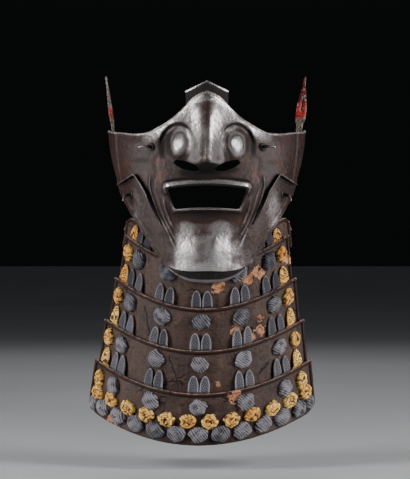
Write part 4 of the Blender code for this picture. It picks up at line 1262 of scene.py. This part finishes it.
def make_bridge_plate():
    """The roof-shaped plate behind the bridge of the nose, with a turned edge along its top."""
    share, down = np.meshgrid(np.linspace(-1.0, 1.0, 61), np.linspace(0.0, 1.0, 31), indexing="ij")
    across = BRIDGE_HALF_WIDTH * share
    top = BRIDGE_TOP - BRIDGE_SLOPE * np.abs(share)
    bottom = edge_height(TOP_EDGE, side_of(across, LEVELS[2].half_width)) - BRIDGE_HIDDEN
    height = top + (bottom - top) * down
    rolled = fall(*BRIDGE_ROLL, top - height)
    points, _ = on_face(across, height, -BRIDGE_DEPTH + BRIDGE_ROLL_RISE * rolled)
    # The plate is painted darker, with a painted highlight along its turned edge
    attributes = {"hollow": 0.6 - 0.9 * rolled, "polish": 1.3 * rolled}
    make_plate("nose_bridge_fine", "nose_bridge_plate", points, [PLATE_IRON, LINING], attributes, SMALL_PLATE)


def lame_points(lame, angle, down, out):
    """Points on a lame: angle round from its middle, down from its rim, out of its face."""
    angle, down, out = np.broadcast_arrays(angle, down, out)
    radius = lame.radius + LAME_FLARE * down + out
    front = lame.front + LAME_LEAN * down + out
    share = np.sin(angle) / math.sin(lame.half_angle)
    x = radius * np.sin(angle)
    y = radius * (1.0 - np.cos(angle)) - front
    z = lame.height - down + lame.rise * share ** 2
    across, along = turned(x, y, -HANG_TURN)
    return np.stack([across + HANG_SHIFT + HANG_LEAN * (z - LAMES[0].height), along, z], axis=-1)


def make_chin_flange():
    """The crescent band turned in under the chin, from behind the jaw's edge down to the laced lames."""
    lame = LAMES[1]
    across = np.linspace(-FLANGE_HALF_LENGTH, FLANGE_HALF_LENGTH, 81)
    share = 1.0 - (across / FLANGE_HALF_LENGTH) ** 2
    edge = edge_height(JAW_EDGE, side_of(across, LEVELS[0].half_width))
    upper, _ = on_face(across, edge + FLANGE_HIDDEN, -FLANGE_DEPTH)
    middle, _ = on_face(across, edge + 1.0, -FLANGE_DEPTH)
    lower_front = lame.front - lame.radius * (1.0 - np.cos(across / lame.radius)) + FLANGE_CLEARANCE
    front = lower_front - (lower_front + middle[:, 1]) * (1.0 - share)
    lower = np.stack([across, -front, edge - FLANGE_END_DROP - FLANGE_DROP * share], axis=-1)
    rows = []
    for start, end, count in ((upper, middle, 5), (middle, lower, 14)):
        rows += [start + (end - start) * i / count for i in range(count)]
    rows.append(lower)
    points = np.stack(rows, axis=1)
    bead = FLANGE_BEAD * bell(np.arange(len(rows)) - (len(rows) - 2.0), FLANGE_BEAD_WIDTH)
    points[..., 1] -= bead * share[:, None]
    # Painted shade in the band just under the jaw's edge, and a painted highlight along the bead
    hollow = np.zeros(points.shape[:2])
    hollow[:, 4:9] = 0.5
    polish = np.zeros(points.shape[:2])
    polish[:, -4:] = 0.7
    attributes = {"hollow": hollow, "polish": polish}
    make_plate("chin_flange_fine", "chin_flange", points, [PLATE_IRON, LINING], attributes, SMALL_PLATE)


def make_guard(name, hand):
    """A bent wall on the cheek, with a rounded top and a soldered foot."""
    corners = np.array(GUARD_PATH)
    lengths = np.concatenate([[0.0], np.cumsum(np.linalg.norm(np.diff(corners, axis=0), axis=1))])
    along = np.linspace(0.0, lengths[-1], 110)
    line = np.stack([np.interp(along, lengths, places) for places in corners.T]) * [[hand], [1.0]]
    for _ in range(2):
        line[:, 1:-1] = 0.25 * line[:, :-2] + 0.5 * line[:, 1:-1] + 0.25 * line[:, 2:]
    tall = GUARD_END_HEIGHT + (GUARD_HEIGHT - GUARD_END_HEIGHT) * fall(0.72, 1.0, along / lengths[-1])
    foot, normal = on_face(*line, 0.0)
    shares = np.linspace(0.0, 1.0, 9)
    rows = [foot + normal * (-GUARD_SUNK + (tall + GUARD_SUNK) * share)[:, None] for share in shares]
    points = np.stack(rows, axis=1)
    up = np.broadcast_to(shares, points.shape[:2])
    # Painted shade on the wall and a painted highlight along its top
    attributes = {"hollow": 0.9 - 0.9 * smooth_step(0.7, 1.0, up), "polish": 0.25 * smooth_step(0.8, 1.0, up)}
    make_plate(name + "_fine", name, points, [IRON], attributes, GUARD_THICKNESS, edge=0.45, offset=0.0)


def ring_round(middle, direction, radius, count):
    """Points of a circle square to a direction."""
    direction = np.asarray(direction) / np.linalg.norm(direction)
    aside = np.cross(direction, (0.0, 0.0, 1.0))
    aside = aside / np.linalg.norm(aside)
    other = np.cross(direction, aside)
    turn = np.linspace(0.0, 2.0 * math.pi, count, endpoint=False)
    return middle + radius * (np.cos(turn)[:, None] * aside + np.sin(turn)[:, None] * other)


def make_hook(hook, hand, side_name):
    """A bent post with a domed tip, standing in a washer on the shell."""
    foot, normal = on_face(hand * hook.across, hook.height, 0.0)
    corner = foot + normal * HOOK_REACH
    tip = corner + np.array((hand * hook.bend[0], hook.bend[1], hook.bend[2]))
    share = np.linspace(0.0, 1.0, 24)[:, None]
    rest = 1 - share
    line = (
        rest ** 3 * foot + 3 * share * rest ** 2 * (foot + normal * HOOK_STRAIGHT)
        + 3 * share ** 2 * rest * corner + share ** 3 * tip)
    ways = np.gradient(line, axis=0)
    radii = HOOK_RADIUS * (1.0 - HOOK_TAPER * share[:, 0])
    rings = [ring_round(point, way, radius, 20) for point, way, radius in zip(line, ways, radii)]
    last = ways[-1] / np.linalg.norm(ways[-1])
    for dome in (0.35, 0.65, 0.88, 0.99):
        radius = radii[-1] * math.sqrt(1.0 - dome ** 2)
        rings.append(ring_round(line[-1] + last * HOOK_RADIUS * 0.5 * dome, ways[-1], radius, 20))
    shape = Shape()
    # A painted highlight that grows towards the hook's tip
    shape.loft(rings, np.repeat(np.linspace(0.0, 1.0, len(rings)) ** 2, len(rings[0])))
    shape.loft([ring_round(foot + normal * out, normal, radius, 28) for radius, out in WASHER], 0.0)
    piece = shape.piece(hook.name + "_fine_" + side_name, PLATE_IRON, ("polish", "hollow"))
    smooth_but_for_edges(piece.data)
    dress(piece, "russet_iron", hook.name + "_" + side_name)


def smooth_loop(corners, count):
    """A smooth closed curve through corners."""
    corners = np.asarray(corners, dtype=float)
    places = []
    for i in range(len(corners)):
        before, here, after, beyond = (corners[(i + k) % len(corners)] for k in (-1, 0, 1, 2))
        for share in np.linspace(0.0, 1.0, count, endpoint=False):
            places.append(0.5 * (
                2 * here + (after - before) * share
                + (2 * before - 5 * here + 4 * after - beyond) * (share * share)
                + (3 * here - before - 3 * after + beyond) * (share * share * share)))
    return places


def teardrop(middle, half_width, half_height, count):
    """A pointed slot, widest below its middle."""
    angle = 2 * math.pi * np.arange(count) / count
    taper = 1.0 - 0.35 * np.sin(angle)
    return np.stack([half_width * taper * np.cos(angle), middle + half_height * np.sin(angle)], axis=-1)


def make_flap(flap):
    """A pierced ear plate with rounded edges, red inside and brown outside."""
    name = "ear_flap_fine_" + flap.side_name
    curve = bpy.data.curves.new("ear_flap_fine", "CURVE")
    curve.dimensions = "2D"
    curve.fill_mode = "BOTH"
    curve.extrude = (0.5 * SMALL_PLATE - FLAP_EDGE) * MM
    curve.bevel_depth = FLAP_EDGE * MM
    curve.bevel_resolution = 2
    curve.offset = -FLAP_EDGE * MM
    for outline in [smooth_loop(FLAP_OUTLINE, 6)] + [teardrop(*slot) for slot in FLAP_SLOTS]:
        spline = curve.splines.new("POLY")
        spline.points.add(len(outline) - 1)
        spline.use_cyclic_u = True
        for point, (back, up) in zip(spline.points, outline):
            point.co = (back * MM, up * MM, 0.0, 1.0)
    outlined = add_object(name, curve)
    mesh = evaluated_mesh(outlined)
    bpy.data.objects.remove(outlined)
    lean = Matrix.Rotation(FLAP_LEAN * flap.hand, 4, "Y")
    toe = Matrix.Rotation(flap.toe * flap.hand, 4, "Z")
    upright = Matrix.Rotation(math.radians(90), 4, "Z") @ Matrix.Rotation(math.radians(90), 4, "X")
    place = Matrix.Translation(Vector((flap.across * flap.hand, FLAP_BACK, FLAP_HEIGHT)) * MM)
    mesh.transform(place @ toe @ lean @ upright)
    mesh.materials.clear()
    mesh.materials.append(LACQUER)
    mesh.materials.append(RED)
    for face in mesh.polygons:
        face.material_index = 1 if face.normal.x * flap.hand < 0.5 else 0
    smooth_but_for_edges(mesh, math.radians(50))
    dress(add_object(name, mesh), "red_lacquer", "ear_flap_" + flap.side_name)


# The throat guard


def corner_cut(to_end, radius):
    """How far a rounded corner pulls an edge in at a distance from the lame's end."""
    inside = np.maximum(radius - to_end, 0.0)
    return radius - np.sqrt(radius ** 2 - inside ** 2)


def rolled_rim(distance):
    """The rolled rim's height at a distance from the lame's edge."""
    half = 0.5 * RIM_WIDTH
    return RIM_RISE * np.sqrt(np.clip(1.0 - ((distance - half) / half) ** 2, 0.0, 1.0))


def pad_drop(lame, angle):
    """How far below its lame's rim a pad sits."""
    share = math.sin(angle) / math.sin(lame.half_angle)
    return PAD_DROP + PAD_DROP_AT_EDGE * share ** 2


def knot_angles(count):
    """Angles of the knots in a row on the bottom lame."""
    angles = [(i - 0.5 * (count - 1)) * KNOT_STEP for i in range(count)]
    return [max(-KNOT_LAST, min(KNOT_LAST, angle)) for angle in angles]


def laces_at(index):
    """The laces that hang one lame from the lame above; the chin leaves no room for one."""
    if index == 1:
        return [lace for lace in LACES if lace.name != "middle"]
    return LACES


def lame_holes(index):
    """The lace holes through one lame, as an angle and a distance below its rim."""
    lame = LAMES[index]
    holes = []
    if index > 0:
        holes += [(lace.angle, pad_drop(lame, lace.angle)) for lace in laces_at(index)]
    if lame is LAMES[-1]:
        for row in KNOT_ROWS:
            holes += [(angle, row.drop) for angle in knot_angles(row.count)]
    return holes


def make_lame(index):
    """One lacquered lame with rolled rims, lace holes, an uneven face and flaked patches."""
    lame = LAMES[index]
    half = lame.half_angle * lame.radius
    inner = np.linspace(-half + RIM_STEPS[-1], half - RIM_STEPS[-1], int(2 * half / LAME_STEP))
    around = np.concatenate([-half + RIM_STEPS[:-1], inner, (half - RIM_STEPS[:-1])[::-1]])
    flat = np.linspace(0.0, 1.0, int(lame.drop / LAME_STEP))[1:]
    angle = (around / lame.radius)[:, None]
    to_end = half - np.abs(around)[:, None]
    top = corner_cut(to_end, CORNER_RADIUS) if lame is LAMES[0] else 0.0 * to_end
    bottom = lame.drop - (corner_cut(to_end, CORNER_RADIUS) if lame is LAMES[-1] else 0.0)
    from_top = np.concatenate(
        [np.broadcast_to(RIM_STEPS, (len(around), len(RIM_STEPS))),
         RIM_STEPS[-1] + (bottom - top - RIM_STEPS[-1]) * flat[None, :]], axis=1)
    down = top + from_top
    from_bottom = bottom - down if lame is LAMES[-1] else np.full_like(down, RIM_WIDTH)
    rim = np.maximum(rolled_rim(from_top), rolled_rim(np.broadcast_to(to_end, down.shape)))
    rim = np.maximum(rim, 0.45 * rolled_rim(np.clip(from_bottom * 1.3, 0.0, RIM_WIDTH)))
    spot = angle * lame.radius
    uneven = 0.28 * ripples(spot, down, 34.0, 20 + index) + 0.10 * ripples(spot, down, 9.0, 40 + index)
    uneven = uneven * smooth_step(*UNEVEN, from_top) * smooth_step(*UNEVEN, to_end)
    rim_wear = 1.0 + 0.06 * ripples(spot, down, 11.0, 60 + index)
    from_edge = np.minimum(from_top, to_end)
    # A light line of wear and painted highlight along the edges, and a painted shadow line just inside the
    # rims
    edge = fall(*EDGE_WEAR_AND_HIGHLIGHT, from_edge)
    groove = bell(from_edge - RIM_SHADOW_AT, RIM_SHADOW_WIDTH)
    chip = np.zeros_like(down)
    for flake in CHIPS:
        if flake.lame == index:
            distance = np.hypot(spot - flake.around, down - flake.down)
            chip = np.maximum(chip, fall(*CHIP_EDGE, distance / flake.radius))
    points = lame_points(lame, angle, down, rim * rim_wear + uneven)
    extra = np.broadcast_arrays(angle, down, chip, rim / RIM_RISE, edge, groove)
    columns = np.concatenate([points, np.stack(extra, axis=-1)], axis=-1).reshape(-1, 9)
    field = np.full(len(columns), 50.0)
    for hole_angle, hole_down in lame_holes(index):
        distance = np.hypot((columns[:, 3] - hole_angle) * lame.radius, columns[:, 4] - hole_down)
        field = np.minimum(field, distance - HOLE_RADIUS)
    points, faces = clip(columns, quad_grid(*down.shape), field)
    attributes = {key: points[:, 5 + i] for i, key in enumerate(("chip", "rim", "edge", "groove"))}
    make_plate(
        lame.name + "_fine", lame.name, (points, faces), [LACQUER, LINING], attributes, LAME_THICKNESS,
        slot="brown_lacquer", edge=0.0)


def disc_grid(count):
    """A square grid of points bent into a round disc of radius 1."""
    across, up = np.meshgrid(np.linspace(-1.0, 1.0, count), np.linspace(-1.0, 1.0, count))
    return across * np.sqrt(1.0 - 0.5 * up ** 2), up * np.sqrt(1.0 - 0.5 * across ** 2)


def striped(across, up, angle, random):
    """Cords of two strands laid side by side aslant, how deep each point lies between them for painted shade,
    and a painted highlight on the cords' crests.
    """
    slant = CORD_SLANT - CORD_SLANT_TURN * angle + random.normal(0.0, 0.12)
    pitch = CORD_PITCH * random.uniform(0.90, 1.12)
    bend = CORD_BEND * ripples(across, up, CORD_BEND_SIZE, int(random.integers(1000)), 4)
    along, over = turned(across, up, -slant)
    over = (over + bend) / pitch + random.uniform()
    cord = wave(over)
    strand = wave(2.0 * over)
    twist = np.sin(2.0 * math.pi * (along / TWIST_LENGTH + 0.5 * np.round(over)) + 2.0 * cord)
    lumps = ripples(across, up, LUMP_SIZE, int(random.integers(1000)), 5)
    lift = CORD_LIFT * cord ** 0.6 - STRAND_DEPTH * (1.0 - strand) + TWIST_RISE * twist + LUMP_RISE * lumps
    depth = 0.85 * (1.0 - cord ** 0.9) + 0.12 * (1.0 - strand) + 0.10 * twist - 0.28 * lumps
    return lift, np.clip(depth, 0.0, 1.0), 0.12 * lumps + 0.55 * (cord - 0.75)


def rosette(across, up, width, height, random):
    """A crumpled knot of folds that cross, with a few slits between them; its valleys and slits get painted
    shade and its fold crests a painted highlight.
    """
    x = across / (0.5 * width)
    y = up / (0.5 * height)
    radius = np.hypot(x, y)
    seeds = random.integers(1000, size=3)
    turn = random.uniform(0.0, math.pi)
    folds = 1.0
    for seed, lean, pitch in zip(seeds, (turn, turn + FOLD_TURN), FOLD_PITCHES):
        bend = FOLD_BEND * ripples(across, up, FOLD_BEND_SIZE, int(seed), 5)
        folds = np.minimum(folds, wave(turned(across, up, lean)[0] / pitch + bend))
    lumps = ripples(across, up, KNOT_LUMP_SIZE, int(seeds[2]), 6)
    slits = 0.0
    for _ in range(random.integers(2, 5)):
        lean = random.uniform(0.0, 2.0 * math.pi)
        reach = random.uniform(*SLIT_REACH)
        tilt = random.uniform(0.0, math.pi)
        along, off = turned(x - reach * math.cos(lean), y - reach * math.sin(lean), tilt)
        slits = np.maximum(slits, bell(along, random.uniform(*SLIT_LENGTH)) * bell(off, SLIT_WIDTH))
    lift = FOLD_RISE * folds ** 0.6 + KNOT_LUMP_RISE * lumps - SLIT_DEPTH * slits
    depth = 0.78 * (1.0 - folds) ** 1.5 + 1.4 * slits - 0.10 * lumps
    tone = 0.35 * smooth_step(0.50, 0.90, radius) + 0.9 * (folds - 0.5) - 0.42 + 0.3 * lumps
    return lift, np.clip(depth, 0.0, 1.0), tone


def add_pad(shape, lame, angle, down, width, height, pattern, tone, random, count=40):
    """A domed pad or knot on a lame, and the stub that holds it through the hole."""
    x, y = disc_grid(count)
    radius = np.hypot(x, y)
    lean = np.arctan2(y, x)
    bulge = radius * 0.5 * math.pi
    wide = np.sin(bulge) ** 0.72
    high = np.cos(np.minimum(bulge, 0.5 * math.pi)) ** 0.55
    across = 0.5 * width * np.cos(lean) * wide
    up = 0.5 * height * np.sin(lean) * wide
    if pattern == "striped":
        lift, depth, shade = striped(across, up, angle, random)
    else:
        lift, depth, shade = rosette(across, up, width, height, random)
    wobble = 1.0
    for lobes in (2, 3, 4, 5, 7):
        wobble = wobble + OUTLINE_WOBBLE * np.sin(lobes * lean + random.uniform(0.0, 6.0)) * radius
    brim = 0.45 * lift * smooth_step(0.6, 1.0, radius)
    across = across * wobble + brim * np.cos(lean)
    up = up * wobble + brim * np.sin(lean)
    out = np.maximum(PAD_RISE * high + lift * np.cos(bulge) ** 0.5, 0.05)
    points = lame_points(lame, angle + across / lame.radius, down - up, out)
    grid = np.arange(count * count).reshape(count, count)
    border = list(grid[0]) + list(grid[1:, -1]) + list(grid[-1, -2::-1]) + list(grid[-2:0:-1, 0])
    faces = quad_grid(count, count).tolist() + [[int(i) for i in reversed(border)]]
    shape.add(points, faces, np.clip(tone + shade, 0.0, 1.0), depth)
    turn = np.linspace(0.0, 2.0 * math.pi, 10, endpoint=False)
    rings = []
    for out in (-LAME_THICKNESS - 1.6, 0.6):
        aside = angle + 1.5 * STUB_RADIUS * np.cos(turn) / lame.radius
        rings.append(lame_points(lame, aside, down - 1.5 * STUB_RADIUS * np.sin(turn), out))
    # The stub is painted darker, as shade in the hole
    shape.loft(rings, tone, 0.6)


def add_petal(shape, upper, lace, middle, rim, length, tone, random):
    """One braided strip that leans out from behind the lower rim and ends in a point on the lame."""
    length = length + random.uniform(-0.9, 0.5)
    ups = np.concatenate([np.linspace(-PAD_DROP - PETAL_TUCKED, -1.0, 10), np.linspace(0.0, length, 38)])
    body = 0.5 * lace.petal_width * random.uniform(0.94, 1.05)
    tip = np.clip((ups - PETAL_TIP_FROM * length) / ((1.0 - PETAL_TIP_FROM) * length), 0.0, 1.0)
    half = body * np.sqrt(1.0 - tip ** 2) * (1.0 - 0.16 * tip) + 0.05
    half = half * (1.0 - 0.22 * smooth_step(0.0, -PAD_DROP, ups))
    shown = smooth_step(*PETAL_SHOWN, ups)
    lower = 0.45 - 0.35 * shown
    lean = 1.0 - np.clip(ups / length, 0.0, 1.0)
    thick = 1.0 + shown * (PETAL_TIP_RISE - 1.0 + (PETAL_FOOT_RISE - PETAL_TIP_RISE) * lean)
    sway = random.uniform(-PETAL_SWAY, PETAL_SWAY)
    folds = int(random.integers(1000))
    turn = np.linspace(0.0, 2.0 * math.pi, 36, endpoint=False)
    side = np.sign(np.cos(turn)) * np.abs(np.cos(turn)) ** 0.8
    top = np.sin(turn)
    outline = smooth_step(*PETAL_BORDER, np.abs(side))
    rings = []
    tones = []
    depths = []
    for up, wide, base, tall, showing, point in zip(ups, half, lower, thick, shown, tip):
        bound = np.maximum(outline, smooth_step(*PETAL_TIP_BORDER, point))
        chevron = wave(up / CHEVRON_PITCH + CHEVRON_SLANT * np.abs(side))
        plait = wave(PLAIT_STRANDS * side + 0.5 + up / PLAIT_PITCH)
        weave = 0.5 * chevron + 0.5 * plait
        if lace.colour == "yellow":
            crumple = CRUMPLE_BEND * ripples(wide * side, up + 0.0 * side, LUMP_SIZE, folds, 5)
            weave = wave(up / CRUMPLE_PITCH + CRUMPLE_SLANT * side + crumple) ** 0.8
            bound = 0.5 * bound
        lift = WEAVE_RISE * weave * (1.0 - 0.5 * bound) + BORDER_RISE * bound
        across = middle + wide * side + sway * max(up, 0.0)
        out = base + tall * (0.5 + 0.5 * top) ** 0.7 + lift * np.clip(top, 0.0, 1.0) * showing
        rings.append(lame_points(upper, lace.angle + across / upper.radius, rim - up, out))
        # Painted shade in the weave's hollows and painted highlights on its crests
        inside = 0.12 + 1.15 * (1.0 - weave)
        depths.append(np.clip(inside * (1.0 - bound) + 0.35 * (1.0 - chevron) * bound, 0.0, 1.0) * showing)
        tones.append(tone + (0.45 * bound - 0.35 + 0.45 * (weave - 0.5)) * showing)
    shape.loft(rings, np.clip(np.array(tones), 0.0, 1.0), np.array(depths))


def make_lace(index, lace):
    """One lace: braided petals on the upper lame and a pad on the lower one."""
    random = np.random.default_rng(100 * index + LACES.index(lace))
    upper = LAMES[index - 1]
    lower = LAMES[index]
    rises = [lame.rise / math.sin(lame.half_angle) ** 2 for lame in (upper, lower)]
    rim = upper.height - lower.height + (rises[0] - rises[1]) * math.sin(lace.angle) ** 2
    length = min(PETAL_LENGTH, rim - RIM_WIDTH - 0.7)
    fading = FADING[index - 1]
    shape = Shape()
    for i in range(lace.petals):
        middle = lace.spacing * (i - 0.5 * (lace.petals - 1))
        tone = np.clip(fading + random.normal(0.0, 0.12), 0.0, 1.0)
        add_petal(shape, upper, lace, middle, rim, length, tone, random)
    down = pad_drop(lower, lace.angle)
    pattern = "striped" if lace.colour == "grey" else "rosette"
    tone = np.clip(fading + 0.1 + random.normal(0.0, 0.15), 0.0, 1.0)
    width = lace.pad_width * random.uniform(0.96, 1.04)
    height = lace.pad_height * random.uniform(0.96, 1.04)
    add_pad(shape, lower, lace.angle, down, width, height, pattern, tone, random)
    name = "lace_" + str(index) + "_" + lace.name
    piece = shape.piece(name + "_braid", BRAIDS[lace.colour])
    dress(piece, lace.colour + "_lace", name)


def make_knot_row(row):
    """A row of knots on the bottom lame and the cord that runs behind it."""
    random = np.random.default_rng(row.count)
    lame = LAMES[-1]
    angles = knot_angles(row.count)
    shape = Shape()
    rings = []
    turn = np.linspace(0.0, 2.0 * math.pi, 12, endpoint=False)
    for angle in np.linspace(angles[0] - 0.02, angles[-1] + 0.02, 120):
        down = row.drop + 1.5 * np.cos(turn)
        rings.append(lame_points(lame, angle, down, -LAME_THICKNESS - 0.8 + 0.5 * np.sin(turn)))
    shape.loft(rings, 0.4, 0.2)
    pattern = "striped" if row.colour == "grey" else "rosette"
    for angle in angles:
        width = END_KNOT_WIDTH if abs(angle) == KNOT_LAST else row.width
        tone = random.uniform(0.35, 0.95)
        down = row.drop + random.uniform(-0.4, 0.4)
        add_pad(shape, lame, angle, down, width, row.height, pattern, tone, random, 36)
    piece = shape.piece(row.name + "_braid", BRAIDS[row.colour])
    dress(piece, row.colour + "_lace", row.name)


# The studio


def make_floor():
    """A pale floor below the guard."""
    low = cad_box[0][2] - FLOOR_DROP
    mesh = bpy.data.meshes.new("studio_floor")
    corners = [(across * FLOOR_REACH, along * FLOOR_REACH, low) for across, along in FLOOR_CORNERS]
    mesh.from_pydata(corners, [], [(0, 1, 2, 3)])
    mesh.materials.append(floor_material("studio_floor"))
    floor = add_object("studio_floor", mesh)


def make_light(name, place, size, power):
    """A white soft box aimed at the guard."""
    light = bpy.data.lights.new(name, "AREA")
    light.shape = "RECTANGLE"
    light.size, light.size_y = size
    light.energy = power
    lamp = add_object(name, light)
    lamp.location = place
    lamp.rotation_euler = (-Vector(place)).to_track_quat("-Z", "Y").to_euler()


def make_world():
    """Dim soft light all round, brighter from above."""
    world = bpy.data.worlds.new("studio")
    bpy.context.scene.world = world
    world.use_nodes = True
    tree = world.node_tree
    way = add_node(tree, "ShaderNodeTexCoord", {}).outputs["Generated"]
    up = Number(tree, add_node(tree, "ShaderNodeSeparateXYZ", {"Vector": way}).outputs["Z"])
    colour = blend(tree, up.spread(0.05, 0.9), (0.003, 0.0033, 0.0035), (0.045, 0.047, 0.05))
    fill_in(tree, tree.nodes["Background"], {"Color": colour, "Strength": 1.0})


def make_camera():
    """The photograph's view, level with the mouth."""
    camera = bpy.data.cameras.new("camera")
    camera.sensor_fit = "HORIZONTAL"
    camera.sensor_width = 36.0
    camera.lens = camera.sensor_width * CAMERA_DISTANCE / VIEW_WIDTH
    view = add_object("camera", camera)
    view.location = (VIEW_ACROSS, -CAMERA_DISTANCE, VIEW_HEIGHT)
    view.rotation_euler = (math.radians(90), 0.0, 0.0)
    bpy.context.scene.camera = view


make_camera()
make_floor()
make_world()
for light in LIGHTS:
    make_light(*light)
make_face_plate()
make_bridge_plate()
make_chin_flange()
for flap in FLAPS:
    make_flap(flap)
for side_name, hand in (("left", -1), ("right", 1)):
    make_guard("cord_guard_" + side_name, hand)
    for hook in HOOKS:
        make_hook(hook, hand, side_name)
for index in range(len(LAMES)):
    make_lame(index)
for index in range(1, len(LAMES)):
    for lace in laces_at(index):
        make_lace(index, lace)
for row in KNOT_ROWS:
    make_knot_row(row)
